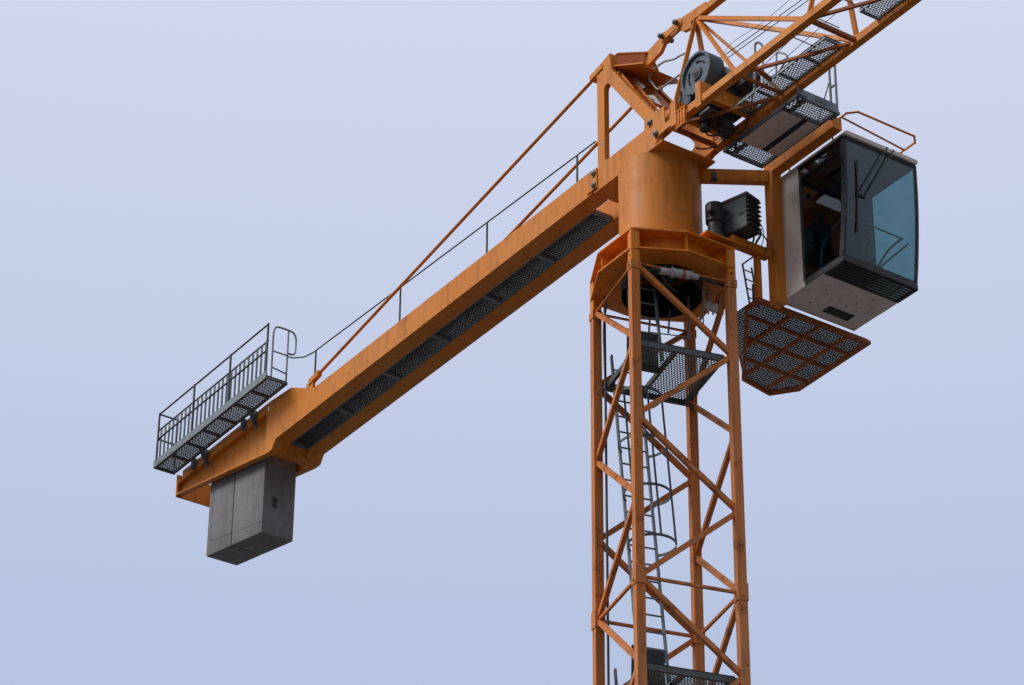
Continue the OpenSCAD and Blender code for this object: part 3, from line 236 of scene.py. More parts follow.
def zinc_coat(name, light, dull, grime, metallic=0.5):
    """Zinc with its spangle, dulled and grimy in places."""
    f = Finish(name)
    spangle = f.noise(24.0, 3.0)
    patch = f.noise(2.6, 5.0, 0.6)
    runs = f.noise(2.0, 5.0, 0.6, stretch=(6.0, 6.0, 0.6))
    base = f.blend(light, dull, f.steps(spangle, 0.35, 0.65))
    base = f.blend(base, grime, f.steps(patch, 0.5, 0.78, 0.65))
    base = f.blend(base, grime, f.steps(runs, 0.55, 0.82, 0.5))
    f.colour(base)
    f.roughness(patch, 0.42, 0.68)
    f.fix("Metallic", metallic)
    f.bump(spangle, 0.08, 0.002)
    return f.material


def cast_concrete(name):
    """Cloudy grey concrete with water runs, grain and pores."""
    f = Finish(name)
    cloud = f.noise(1.5, 7.0, 0.6)
    grain = f.noise(55.0, 4.0, 0.6)
    runs = f.noise(2.0, 6.0, 0.65, stretch=(4.5, 4.5, 0.35))
    pores = f.noise(17.0, 2.0, 0.5)
    base = f.blend((0.205, 0.198, 0.208), (0.14, 0.134, 0.14), f.steps(cloud, 0.35, 0.7))
    base = f.blend(base, (0.072, 0.066, 0.066), f.steps(runs, 0.5, 0.78, 0.6))
    base = f.blend(base, (0.25, 0.24, 0.245), f.steps(grain, 0.55, 0.75, 0.35))
    base = f.blend(base, (0.06, 0.055, 0.05), f.steps(pores, 0.69, 0.74, 0.8))
    f.colour(base)
    f.roughness(cloud, 0.8, 0.95)
    f.bump(grain, 0.35, 0.004)
    return f.material


def tinted_glass(name):
    """Clear green-blue glass with a little dust in its tint."""
    f = Finish(name)
    dust = f.noise(3.0, 6.0, 0.65)
    f.colour(f.blend((0.26, 0.44, 0.47), (0.33, 0.5, 0.52), f.steps(dust, 0.4, 0.7)))
    f.roughness(dust, 0.0, 0.004)
    f.fix("Transmission Weight", 1.0)
    f.fix("IOR", 1.45)
    return f.material


def sky_lit_pane(name, dark_y, light_y):
    """Glass painted dark, as the shaded cab behind it, growing to a painted pale green-blue across the cab
    where the sky shows through.
    """
    f = Finish(name)
    split = f.tree.nodes.new("ShaderNodeSeparateXYZ")
    f.link(f.place, split.inputs[0])
    share = f.steps(split.outputs["Y"], dark_y, light_y)
    dark = f.blend((0.012, 0.02, 0.022), (0.03, 0.04, 0.042), f.noise(9.0))
    f.colour(f.blend(dark, (0.36, 0.62, 0.6), share))
    f.fix("Roughness", 0.12)
    return f.material


def plain_coat(name, colour, worn, rough=(0.5, 0.75), bump=0.1, metallic=0.0, gloss=0.5):
    """One colour with worn patches and specks, for plastic, cloth, rubber and steel."""
    f = Finish(name)
    patch = f.noise(4.0, 5.0, 0.6)
    fine = f.noise(60.0, 4.0, 0.6)
    f.colour(f.blend(f.blend(colour, worn, f.steps(patch, 0.42, 0.72)), worn, f.steps(fine, 0.55, 0.75, 0.4)))
    f.roughness(patch, *rough)
    f.bump(fine, bump, 0.002)
    f.fix("Metallic", metallic)
    f.fix("Specular IOR Level", gloss)
    return f.material


orange = (0.6, 0.185, 0.014)
orange_faded = (0.62, 0.215, 0.034)
soot = (0.14, 0.045, 0.014)
rust = (0.19, 0.062, 0.022)
recipes = {
    "orange_paint": (weathered_paint, orange, orange_faded, soot, rust),
    "mast_paint": (weathered_paint, (0.55, 0.165, 0.036), (0.58, 0.22, 0.085), (0.15, 0.058, 0.028),
        (0.17, 0.055, 0.024), 0.55, (0.5, 0.75), 0.7),
    "galvanised": (zinc_coat, (0.22, 0.25, 0.27), (0.15, 0.175, 0.19), (0.07, 0.07, 0.07)),
    "dark_steel": (plain_coat, (0.03, 0.042, 0.05), (0.07, 0.085, 0.092)),
    "cab_paint": (weathered_paint, (0.62, 0.54, 0.51), (0.68, 0.61, 0.58), (0.24, 0.19, 0.16),
        (0.26, 0.15, 0.08), 0.74, (0.38, 0.62), 0.35),
    "cab_glass": (tinted_glass,),
    "concrete": (cast_concrete,),
    "winch_paint": (weathered_paint, (0.088, 0.115, 0.145), (0.12, 0.15, 0.18), (0.035, 0.038, 0.045),
        (0.14, 0.06, 0.03), 0.72),
    "cable_sheath": (plain_coat, (0.018, 0.018, 0.02), (0.04, 0.04, 0.042)),
    "seat_cloth": (plain_coat, (0.03, 0.032, 0.036), (0.05, 0.052, 0.058), (0.85, 0.95), 0.4),
    "mesh_zinc": (zinc_coat, (0.105, 0.115, 0.11), (0.07, 0.078, 0.075), (0.05, 0.04, 0.032), 0.3),
    "machine_black": (plain_coat, (0.022, 0.024, 0.028), (0.05, 0.046, 0.044), (0.45, 0.7)),
    "box_brown": (weathered_paint, (0.055, 0.05, 0.05), (0.085, 0.07, 0.065), (0.03, 0.026, 0.025),
        (0.1, 0.045, 0.025), 0.6),
    "bare_pin": (plain_coat, (0.1, 0.11, 0.11), (0.17, 0.165, 0.15), (0.35, 0.6), 0.1, 0.6),
    "pale_plastic": (plain_coat, (0.62, 0.6, 0.53), (0.5, 0.48, 0.43), (0.4, 0.6)),
    "red_ring": (plain_coat, (0.42, 0.05, 0.03), (0.3, 0.06, 0.04), (0.4, 0.6)),
    "foot_glass": (sky_lit_pane, 2.05, 2.75),
    "window_rubber": (plain_coat, (0.012, 0.014, 0.016), (0.028, 0.03, 0.032), (0.55, 0.8)),
    "conduit_zinc": (zinc_coat, (0.3, 0.3, 0.31), (0.22, 0.22, 0.235), (0.1, 0.08, 0.07), 0.4),
    # darker copy of the orange paint: painted shade for undersides and shaded bars; its grime and rust spots
    # are the paint's own
    "underside_painted_shade": (weathered_paint, (0.3, 0.082, 0.022), (0.36, 0.11, 0.035), (0.08, 0.03, 0.014),
        rust, 0.58, (0.5, 0.75)),
    "deep_shade": (plain_coat, (0.26, 0.058, 0.01), (0.2, 0.045, 0.01), (0.5, 0.75), 0.1, 0.0, 0.08),
    "tray_brown": (weathered_paint, (0.62, 0.5, 0.47), (0.68, 0.56, 0.52), (0.26, 0.19, 0.16),
        (0.2, 0.09, 0.05), 0.66),
    "slate_zinc": (zinc_coat, (0.12, 0.14, 0.165), (0.085, 0.1, 0.12), (0.05, 0.045, 0.045), 0.3),
    "pale_sheath": (plain_coat, (0.46, 0.45, 0.47), (0.34, 0.33, 0.35)),
    "signal_orange": (weathered_paint, (0.72, 0.21, 0.016), (0.76, 0.26, 0.04), soot, rust, 0.72),
}
finishes = {name: kind(name, *look) for name, (kind, *look) in recipes.items()}
other_coats = {
    # the cab platform and the jib floor lattice take the orange paint darkened as painted shade of their
    # undersides
    "cab_platform": "underside_painted_shade",
    "jib_floor_lattice": "underside_painted_shade",
    "rest_platforms": "mesh_zinc",
    "ring_support": "signal_orange",
    "ballast_platform": "slate_zinc",
}


def give_finish(mesh, coat):
    """Leaves the mesh with this finish alone."""
    mesh.materials.clear()
    mesh.materials.append(finishes[coat])


def coat_frame_nodes():
    """Gives each solid the finish of its slot, or the other coat named for it."""
    for part in frame["record"]["subparts"]:
        give_finish(nodes[part["node"]].data, other_coats.get(part["node"], part["material_slot"]))


# Workshop: the ways of making a part

def block(low, high):
    """A block between two corners."""
    bpy.ops.mesh.primitive_cube_add(size=1, location=[(a + b) / 2 for a, b in zip(low, high)])
    part = bpy.context.object
    part.scale = [abs(b - a) for a, b in zip(low, high)]
    return part


def bar(a, b, d, sides=12):
    """A round bar from a to b."""
    a, b = Vector(a), Vector(b)
    turn = (b - a).to_track_quat("Z", "Y").to_euler()
    bpy.ops.mesh.primitive_cylinder_add(vertices=sides, radius=d / 2, depth=(b - a).length,
                                        location=(a + b) / 2, rotation=turn)
    return bpy.context.object


def shaped(part, kind, **settings):
    """The active part, changed for good by a modifier with these settings."""
    modifier = part.modifiers.new(kind.lower(), kind)
    for name, value in settings.items():
        setattr(modifier, name, value)
    bpy.ops.object.modifier_apply(modifier=modifier.name)
    return part


def tidy_skin():
    """Merges doubled points and turns the faces of the active part outwards."""
    bpy.ops.object.mode_set(mode="EDIT")
    bpy.ops.mesh.select_all(action="SELECT")
    bpy.ops.mesh.remove_doubles(threshold=0.00005)
    bpy.ops.mesh.normals_make_consistent(inside=False)
    bpy.ops.object.mode_set(mode="OBJECT")


def eased(points, bend, steps=4):
    """The points with each inner corner rounded off."""
    points = [Vector(p) for p in points]
    route = [points[0]]
    for before, corner, after in zip(points, points[1:], points[2:]):
        a, b = before - corner, after - corner
        cut_a, cut_b = min(bend, a.length * 0.48), min(bend, b.length * 0.48)
        start, end = corner + a.normalized() * cut_a, corner + b.normalized() * cut_b
        for i in range(steps + 1):
            t = i / steps
            route.append(start * (1 - t) ** 2 + corner * 2 * t * (1 - t) + end * t ** 2)
    return route + [points[-1]]


def bent(points, d, bend=0.0, sides=8):
    """A bar, pipe or cable bent through the points."""
    route = eased(points, bend) if bend else [Vector(p) for p in points]
    bpy.ops.curve.primitive_nurbs_path_add(location=(0, 0, 0))
    part = bpy.context.object
    curve = part.data
    curve.splines.clear()
    spline = curve.splines.new("POLY")
    spline.points.add(len(route) - 1)
    for point, place in zip(spline.points, route):
        point.co = (*place, 1)
    curve.dimensions = "3D"
    curve.bevel_depth = d / 2
    curve.bevel_resolution = sides // 2 - 2
    curve.use_fill_caps = True
    bpy.ops.object.convert(target="MESH")
    tidy_skin()
    return bpy.context.object


def plate(corners, thick):
    """A flat plate: its outline filled and drawn out by the thickness."""
    bpy.ops.mesh.primitive_circle_add(vertices=len(corners), fill_type="NGON", location=(0, 0, 0))
    part = bpy.context.object
    for vertex, corner in zip(part.data.vertices, corners):
        vertex.co = corner
    bpy.ops.object.mode_set(mode="EDIT")
    bpy.ops.mesh.select_all(action="SELECT")
    bpy.ops.mesh.extrude_region_move(TRANSFORM_OT_translate={"value": thick})
    bpy.ops.mesh.select_all(action="SELECT")
    bpy.ops.mesh.normals_make_consistent(inside=False)
    bpy.ops.object.mode_set(mode="OBJECT")
    return part


def twin(part):
    """A copy of the part with a mesh of its own."""
    copy = part.copy()
    copy.data = part.data.copy()
    bpy.context.collection.objects.link(copy)
    return copy


def copies(part, places):
    """The part at its own place and, moved, at each further place."""
    made = [part]
    for place in places:
        made.append(twin(part))
        made[-1].location = part.location + Vector(place)
    return made


def ring_of(part, centre, axis, count):
    """The part turned round an axis through the centre, count times."""
    made = [part]
    there, back = Matrix.Translation(centre), Matrix.Translation(-Vector(centre))
    for k in range(1, count):
        made.append(twin(part))
        turn = Matrix.Rotation(2 * math.pi * k / count, 4, Vector(axis))
        made[-1].matrix_world = there @ turn @ back @ part.matrix_basis
    return made


def at_y(y, points):
    """Points of an upright plane, from their x and z."""
    return [(x, y, z) for x, z in points]


def on_circle(centre, radius, count, upright=False):
    """Places spread evenly round a circle, flat or upright along X."""
    x, y, z = centre
    turns = [2 * math.pi * k / count for k in range(count)]
    rim = [(radius * math.cos(a), radius * math.sin(a)) for a in turns]
    return [(x + u, y, z + v) if upright else (x + u, y + v, z) for u, v in rim]


def stack(x, y, steps, z=0.0):
    """Upright round steps on one axis, each with two heights, a diameter and its sides."""
    return [bar((x, y, z + a), (x, y, z + b), d, sides) for a, b, d, sides in steps]


def bolts(places, axis, size):
    """Washers with hexagon heads at the places, standing out along the axis."""
    axis = Vector(axis).normalized()
    washer = bar((0, 0, 0), axis * size * 0.3, size * 2, 12)
    head = bar(axis * size * 0.28, axis * size * 0.95, size * 1.6, 6)
    made = []
    for part in (washer, head):
        part.location += Vector(places[0])
        made += copies(part, [Vector(p) - Vector(places[0]) for p in places[1:]])
    return made


def make(name, parts, slot_name, coat=None, soften=0.0, replaces=(), body="upper"):
    """Joins the parts to one piece, eases its edges, and gives it its finish and its body."""
    bpy.ops.object.select_all(action="DESELECT")
    for part in parts:
        part.select_set(True)
    bpy.context.view_layer.objects.active = parts[0]
    if len(parts) > 1:
        bpy.ops.object.join()
    piece = bpy.context.object
    bpy.ops.object.transform_apply(location=True, rotation=True, scale=True)
    if soften:
        shaped(piece, "BEVEL", width=soften, segments=2, limit_method="ANGLE", angle_limit=math.radians(50))
    bpy.ops.object.shade_smooth_by_angle(angle=math.radians(35))
    piece.name = name
    piece.data.name = name
    give_finish(piece.data, coat or slot_name)
    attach(piece, body)
    if replaces:
        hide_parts(*replaces)
    bpy.ops.object.select_all(action="DESELECT")
    return piece


def grating(outline, z, strand=0.019, long_way=0.1, short_way=0.045):
    """Expanded metal: a grid turned to diamonds, cut to the outline and drawn as strands."""
    xs, ys = zip(*outline)
    width, depth = max(xs) - min(xs), max(ys) - min(ys)
    count = math.ceil(width / long_way + depth / short_way) + 2
    bpy.ops.mesh.primitive_grid_add(x_subdivisions=count, y_subdivisions=count, size=count / math.sqrt(2),
                                    location=(0, 0, 0))
    part = bpy.context.object
    middle = ((max(xs) + min(xs)) / 2, (max(ys) + min(ys)) / 2, z + strand / 2)
    diamonds = Matrix.Diagonal((long_way, short_way, 1, 1)) @ Matrix.Rotation(math.radians(45), 4, "Z")
    part.data.transform(Matrix.Translation(middle) @ diamonds)
    bpy.ops.object.mode_set(mode="EDIT")
    for (x0, y0), (x1, y1) in zip(outline, outline[1:] + outline[:1]):
        bpy.ops.mesh.select_all(action="SELECT")
        bpy.ops.mesh.bisect(plane_co=(x0, y0, z), plane_no=(y1 - y0, x0 - x1, 0), clear_outer=True)
    bpy.ops.object.mode_set(mode="OBJECT")
    return shaped(part, "WIREFRAME", thickness=strand, use_even_offset=False)


def strip(x0, y0, x1, y1):
    """A rectangle's corners, counter-clockwise."""
    return [(x0, y0), (x1, y0), (x1, y1), (x0, y1)]


# Walkways of expanded metal

jib_start, node_pitch, jib_bays = 0.85, 3.2, 6


def lay_gratings():
    """Panels of the jib, counter-jib, service platform, ballast platform and cab platform."""
    def lay(name, panels):
        make(name, panels, "galvanised", "mesh_zinc", replaces=("walkway_mesh",))

    jib_y0, jib_y1, jib_z = 0.06, 0.3897, 27.7416
    panels = []
    for k in range(jib_bays):
        start = jib_start + node_pitch * k
        x0 = start + (0.87 if k == 0 else 0.5)
        panels.append(grating(strip(x0, jib_y0, start + 2.95, jib_y1), jib_z))
    lay("jib_walkway_mesh", panels)

    first, pitch, length, half, panel_count = -1.4803, 1.49667, 1.4961, 0.1947, 6
    panels = []
    for k in range(panel_count):
        x1 = first - pitch * k
        panels.append(grating(strip(x1 - length, -half, x1, half), 27.5603, 0.031))
    lay("counter_jib_mesh", panels)

    width, service_z, ballast_z = 0.3997, 27.4803, 28.4056
    panels = [grating(strip(x, 0.4, x + width, 1.1), service_z) for x in (1.05, 2.3903)]
    panels.append(grating(strip(-14.08, -0.96, -10.04, -0.56), ballast_z, 0.023))
    lay("platform_mesh", panels)

    plan = [(0.6, 1.08), (0.89, 1.08), (0.89, 3.16), (-0.78, 3.18), (-1.13, 2.92), (-1.02, 2.31)]
    lay("cab_platform_mesh", [grating(plan, 25.2203, 0.025)])


def lay_rest_gratings():
    """Floors of the rest platforms in the mast, each with an open hatch."""
    reach, width = 0.703, 0.643
    rim_x, rim_y, gap = 0.0425, -0.085, 0.0003
    first_drop, section, platforms = 1.25, 5, 5
    panels = []
    for k in range(platforms):
        z = mast_top - first_drop - section * k + gap
        panels.append(grating(strip(rim_x, -width, reach, rim_y - gap), z))
        panels.append(grating(strip(-reach, rim_y + gap, reach, width), z))
    piece = make("rest_platform_grating", panels, "galvanised", "mesh_zinc", replaces=("rest_platform_mesh",),
                 body="mast")
    piece.data.transform(Matrix.Rotation(mast_turn, 4, "Z"))


# Head of the crane

def build_cable_tray():
    """Two rails with rungs beside the near front leg, held to it by short brackets."""
    top, foot = Vector((-0.57, 0, 29.61)), Vector((0.33, 0, 28.26))
    run = (foot - top).normalized()
    out = Vector((-run.z, 0, run.x)) * 0.02
    near, far, rungs, rung_pitch = -0.36, -0.17, 13, 0.122
    parts = []
    for y in (near, far):
        a, b = top + Vector((0, y, 0)), foot + Vector((0, y, 0))
        parts.append(plate([a - out, b - out, b + out, a + out], (0, 0.006, 0)))
    for k in range(rungs):
        centre = top + run * (0.07 + rung_pitch * k)
        a, b = (centre + Vector((0, y, 0)) for y in (near - 0.002, far + 0.008))
        parts.append(bar(a, b, 0.016, 8))
    for share in (0.12, 0.5, 0.88):
        centre = top + (foot - top) * share
        low, high = Vector((-0.02, near - 0.048, -0.015)), Vector((0.02, near + 0.008, 0.015))
        parts.append(block(centre + low, centre + high))
    make("head_cable_tray", parts, "orange_paint", soften=0.001)


def build_head_conduit():
    """Grey pipe that loops round the yoke."""
    route = at_y(-0.15, ((0.93, 29.1), (0.72, 29.15), (0.64, 29.15), (0.39, 29.26), (0.245, 29.28),
                         (0.05, 29.27), (-0.02, 29.17), (0.2, 28.83), (0.42, 28.81), (0.74, 28.8)))
    make("head_conduit", [bent(route, 0.032, 0.07, 10)], "galvanised", "conduit_zinc")


def build_head_plates():
    """Folded guard sheets under the yoke, each held by a bolt."""
    y, sheet = -0.12, 0.015
    outlines = (((-0.54, 29.53), (-0.41, 29.43), (-0.155, 29.12), (-0.24, 29.12), (-0.45, 29.37)),
                ((-0.12, 28.94), (0.06, 28.835), (0.25, 28.53), (0.06, 28.7)))
    parts = [plate(at_y(y, outline), (0, sheet, 0)) for outline in outlines]
    parts += [bar((x, y - 0.05, z), (x, y + 0.01, z), 0.02, 8) for x, z in ((-0.3, 29.22), (0.04, 28.76))]
    make("head_guard_sheets", parts, "galvanised", "pale_sheath", soften=0.003)


def add_pin_heads():
    """Pins with collars and keeper plates in the lugs of the head, link and counter-jib."""
    parts = []
    lug, link = 0.495, 0.069
    for x, z in ((-0.962, 27.81), (-0.962, 27.6), (0.46, 27.94), (0.6, 27.66)):
        for s in (-1, 1):
            parts.append(bar((x, s * lug, z), (x, s * (lug + 0.045), z), 0.1, 20))
            parts.append(bar((x, s * (lug + 0.04), z), (x, s * (lug + 0.062), z), 0.062, 16))
            low, high = (x - 0.012, s * (lug + 0.004), z - 0.075), (x + 0.012, s * (lug + 0.03), z + 0.075)
            parts.append(block(low, high))
    for x, z in ((0.23, 29.856), (0.6, 29.888)):
        for s in (-1, 1):
            parts.append(bar((x, s * link, z), (x, s * 0.13, z), 0.085, 20))
            parts.append(bar((x, s * 0.12, z), (x, s * 0.145, z), 0.055, 12))
    make("head_pins", parts, "dark_steel", "bare_pin", soften=0.003)


def close_head_soffit():
    """Sloping sheet between the cheeks of the cross beam, with its near web painted dark brown as the shade
    of its recess, and its lip.
    """
    half = 0.395
    (low_x, low_z), (high_x, high_z) = (0.18, 29.2), (-0.6, 29.6)
    sheet = [(high_x, -half, high_z), (low_x, -half, low_z), (low_x, half, low_z), (high_x, half, high_z)]
    make("head_soffit", [plate(sheet, (0, 0, 0.012))], "orange_paint")
    # the web plate is coloured deep_shade: painted shade, where the real web lies recessed in shadow between
    # the flanges
    web = at_y(-0.411, ((-0.5, 29.79), (0.235, 29.385), (0.225, 29.215), (-0.505, 29.61)))
    make("cross_beam_web", [plate(web, (0, 0.008, 0))], "orange_paint", "deep_shade")
    lip = at_y(-0.45, ((-0.52, 29.605), (0.235, 29.205), (0.225, 29.185), (-0.52, 29.58)))
    make("cross_beam_lip", [plate(lip, (0, 0.05, 0))], "orange_paint", soften=0.002)


def build_jib_foot():
    """Ribbed shoe that clamps the winch frame to the near lower chord."""
    x0, x1, y0, y1, z0, z1 = 1.12, 1.34, -0.555, -0.505, 27.42, 27.73
    rim, inset, rib_half, ribs = 0.02, 0.012, 0.008, 4
    parts = [block((x0, y0 + rim, z0), (x1, y1, z1)), block((x0 - rim, y0, z1 - rim), (x1 + rim, y1, z1)),
             block((x0 - rim, y0, z0), (x1 + rim, y1, z0 + rim))]
    for k in range(ribs):
        x = x0 + inset + k * (x1 - x0 - 2 * inset) / (ribs - 1)
        parts.append(block((x - rib_half, y0, z0), (x + rib_half, y0 + 0.03, z1)))
    make("jib_foot_shoe", parts, "orange_paint", "signal_orange", soften=0.003)


def add_head_bolts():
    """Ring of bolts on the flange at the drum's foot."""
    flange = on_circle((0, 0, 25.97), 0.655, 24)
    make("drum_flange_bolts", bolts(flange, (0, 0, 1), 0.018), "orange_paint", "bare_pin")


# Winch

def dress_winch():
    """Handles, bolts, folds, gear, hoses, rope turns and motor fins on the hoist winch."""
    x, z, face = 1.34, 28.41, -0.33
    handle_r, rim_r, rope_r = 0.2, 0.33, 0.25
    hooks = []
    for start, sweep in ((150, 62), (28, 66)):
        turns = [math.radians(start + sweep * i / 8) for i in range(9)]
        arc = [(x + handle_r * math.cos(a), face + 0.03, z + handle_r * math.sin(a)) for a in turns]
        hooks.append(bent(arc, 0.028, 0, 8))
    hooks.append(bar((x, face + 0.045, z), (x, face + 0.002, z), 0.16, 24))
    hooks.append(bar((x, face + 0.01, z), (x, face - 0.004, z), 0.07, 6))
    make("winch_face_handles", hooks, "winch_paint", "window_rubber", soften=0.003)

    rim = on_circle((x, face + 0.001, z), rim_r, 16, upright=True)
    make("winch_rim_bolts", bolts(rim, (0, -1, 0), 0.011), "winch_paint", "bare_pin")

    fold_y = -0.252
    folds = [bar((x + ax, fold_y, z + az), (x + bx, fold_y, z + bz), 0.016, 6) for ax, az, bx, bz in (
        (-0.5, -0.17, -0.24, -0.41), (-0.42, -0.03, -0.1, -0.4), (-0.32, 0.1, 0.06, -0.38))]
    make("winch_guard_folds", folds, "winch_paint")

    front = at_y(-0.3, ((1.1, 28.4), (0.98, 27.99), (1.14, 27.99), (1.22, 28.12)))
    side = [(1.1, -0.3, 28.4), (0.7, -0.22, 28.29), (0.7, -0.22, 28.24), (0.98, -0.3, 27.99)]
    skirt = [plate(front, (0, 0.02, 0)), plate(side, (0, 0.015, 0))]
    make("winch_skirt", skirt, "winch_paint", soften=0.003)

    (brake_x, brake_y), (gear_x, gear_y), pump_z = (1.25, -0.1), (1.44, 0.14), 27.66
    under = [block((1.11, -0.3, 27.74), (1.57, 0.34, 27.975))]
    under += stack(brake_x, brake_y, [(27.75, 27.52, 0.17, 24)])
    under += stack(gear_x, gear_y, [(27.75, 27.5, 0.21, 24), (27.51, 27.46, 0.13, 24)])
    under += [block((1.15, 0.2, 27.6), (1.34, 0.4, 27.76)),
              bar((1.34, -0.22, pump_z), (1.58, -0.22, pump_z), 0.13, 20),
              block((1.8, 0.06, 28.02), (2.04, 0.34, 28.24)),
              bar((1.7, 0.2, 28.1), (1.82, 0.2, 28.1), 0.12, 16)]
    make("hoist_gear_and_brake", under, "dark_steel", "machine_black", soften=0.004)
    routes = [
        ([(brake_x, brake_y, 27.53), (1.24, -0.06, 27.44), (1.36, 0.05, 27.42), (gear_x, gear_y, 27.47)],
         0.03, 0.06),
        ([(1.56, -0.22, pump_z), (1.66, -0.18, 27.56), (1.62, 0.06, 27.48), (gear_x, gear_y, 27.48)],
         0.026, 0.08),
        ([(1.3, 0.38, pump_z), (1.42, 0.44, 27.56), (1.62, 0.36, 27.54), (1.9, 0.28, 27.8),
          (1.92, 0.24, 28.03)], 0.024, 0.1),
        ([(1.2, 0.36, 27.62), (1.05, 0.3, 27.5), (0.92, 0.1, 27.44), (0.86, 0.02, 27.47)], 0.024, 0.08),
    ]
    make("hoist_hoses", [bent(*route) for route in routes], "cable_sheath")

    slat_pitch, slats = 0.026, 9
    slat = block((x - 0.33, 0.318, z - 0.38), (x - 0.315, 0.332, z - 0.05))
    ribs = copies(slat, [(slat_pitch * k, 0, 0) for k in range(1, slats)])
    make("gear_case_ribs", ribs, "winch_paint", soften=0.002)

    rope_turns, points, rope_pitch = 11, 20, 0.0235
    coil = []
    for i in range(rope_turns * points + 1):
        a = 2 * math.pi * i / points
        coil.append((x + rope_r * math.cos(a), -0.04 + rope_pitch * i / points, z + rope_r * math.sin(a)))
    make("hoist_rope_turns", [bent(coil, 0.019, 0, 6)], "dark_steel", "bare_pin")

    mx, mz = 1.685, 28.21
    fin = block((mx - 0.004, 0.0, mz + 0.148), (mx + 0.004, 0.3, mz + 0.166))
    parts = ring_of(fin, (mx, 0, mz), (0, 1, 0), 30)
    parts.append(bar((mx, 0.32, mz), (mx, 0.35, mz), 0.29, 32))
    parts.append(bar((mx, -0.075, mz), (mx, -0.045, mz), 0.33, 32))
    parts.append(block((mx - 0.07, 0.08, mz + 0.14), (mx + 0.07, 0.22, mz + 0.23)))
    make("winch_motor_fins", parts, "dark_steel", "machine_black", soften=0.002)


# Slewing drive and the box beside it

def build_slewing_motor():
    """Upright motor in steps, with ribs, a domed cap, a terminal box and foot bolts."""
    x, y, z = 0.8, 0.385, 25.9703
    steps = ((0.0, 0.05, 0.3), (0.05, 0.16, 0.25), (0.15, 0.35, 0.215), (0.34, 0.375, 0.27),
             (0.37, 0.6, 0.25), (0.585, 0.61, 0.275))
    parts = stack(x, y, [(low, high, d, 40) for low, high, d in steps], z)
    rib = block((x + 0.12, y - 0.004, z + 0.385), (x + 0.137, y + 0.004, z + 0.585))
    parts += ring_of(rib, (x, y, 0), (0, 0, 1), 28)
    bpy.ops.mesh.primitive_cylinder_add(vertices=40, radius=0.137, depth=0.05, location=(x, y, z + 0.632))
    parts.append(shaped(bpy.context.object, "BEVEL", width=0.04, segments=4))
    parts.append(block((x + 0.06, y - 0.2, z + 0.42), (x + 0.16, y - 0.1, z + 0.53)))
    make("slewing_drive", parts, "dark_steel", "machine_black", soften=0.003, replaces=("slewing_motor",))
    foot = on_circle((x, y, z + 0.049), 0.135, 10)
    make("slewing_drive_bolts", bolts(foot, (0, 0, 1), 0.012), "dark_steel", "bare_pin")


def dress_resistor_box():
    """Cooling fins, lid edge and bolts on the dark box."""
    turn = Matrix.Translation((0.66, 0.5, 26.0906)) @ Matrix.Rotation(math.radians(15), 4, "Z")
    fin_pitch, fin_count, bolt_pitch, bolt_count = 0.078, 7, 0.05, 10
    fin = block((0.568, 0.0, 0.1), (0.63, 0.3, 0.118))
    fins = copies(fin, [(0, 0, fin_pitch * k) for k in range(1, fin_count)])
    fins.append(block((-0.012, -0.012, 0.6), (0.6, 0.312, 0.648)))
    fins.append(block((-0.008, -0.01, 0.055), (0.58, 0.31, 0.085)))
    for x in (0.06, 0.25, 0.45):
        fins.append(block((x, -0.014, 0.3), (x + 0.06, 0.0, 0.33)))
    piece = make("resistor_box_fins", fins, "dark_steel", "box_brown", soften=0.002)
    piece.data.transform(turn)
    edge = [(0.575 + 0.03 * (k % 2), 0.15, 0.6 - bolt_pitch * k) for k in range(bolt_count)]
    knobs = make("resistor_box_bolts", bolts(edge, (1, 0, 0), 0.014), "dark_steel", "machine_black")
    knobs.data.transform(turn)


def build_motor_cables():
    """Thick leads that loop from the box's foot down to the beam."""
    beam_top = 26.105
    routes = [
        ([(1.02, 0.8, 26.27), (1.15, 0.82, 26.22), (1.2, 0.88, 26.18), (1.17, 0.95, 26.16),
          (1.08, 1.0, 26.16), (0.96, 1.02, 26.13), (0.9, 1.05, beam_top)], 0.036),
        ([(0.96, 0.8, 26.21), (1.07, 0.82, 26.16), (1.08, 0.88, 26.12), (1.0, 0.95, 26.13),
          (0.92, 0.97, beam_top)], 0.03),
        ([(1.17, 0.72, 26.51), (1.22, 0.74, 26.4), (1.26, 0.84, 26.28), (1.2, 0.98, 26.18),
          (1.02, 1.1, 26.13), (0.92, 1.14, beam_top)], 0.014),
        ([(1.1, 0.9, 26.2), (1.14, 1.02, 26.16), (1.1, 1.13, 26.1), (1.0, 1.17, 26.05),
          (0.975, 1.16, 25.99)], 0.022),
        ([(0.8, 0.54, 26.3), (0.86, 0.6, 26.19), (0.9, 0.72, 26.12), (0.9, 0.84, beam_top)], 0.028),
    ]
    parts = [bent(route, d, 0.09, 8) for route, d in routes]
    make("motor_leads", parts, "cable_sheath", replaces=("motor_cables",))


def hang_work_lamp():
    """Round lamp that hangs under the head on a short stem."""
    x, y, top = 0.76, 0.43, 27.29
    steps = ((0.0, -0.05, 0.05, 12), (-0.045, -0.16, 0.085, 20), (-0.15, -0.19, 0.11, 20))
    make("work_lamp", stack(x, y, steps, top), "dark_steel", "machine_black", soften=0.012)


# Cab

cab_x0, cab_y0, cab_y1 = 0.94, 1.45, 2.85
pane_x0, foot_x = 1.5, 2.36
sill_z, lintel_z = 25.3303, 27.3297


def screen_x(share):
    """How far out the curved windscreen stands at a share of its height."""
    lean, bulge = 0.16, 0.045
    return foot_x + lean * share + 4 * bulge * share * (1 - share)


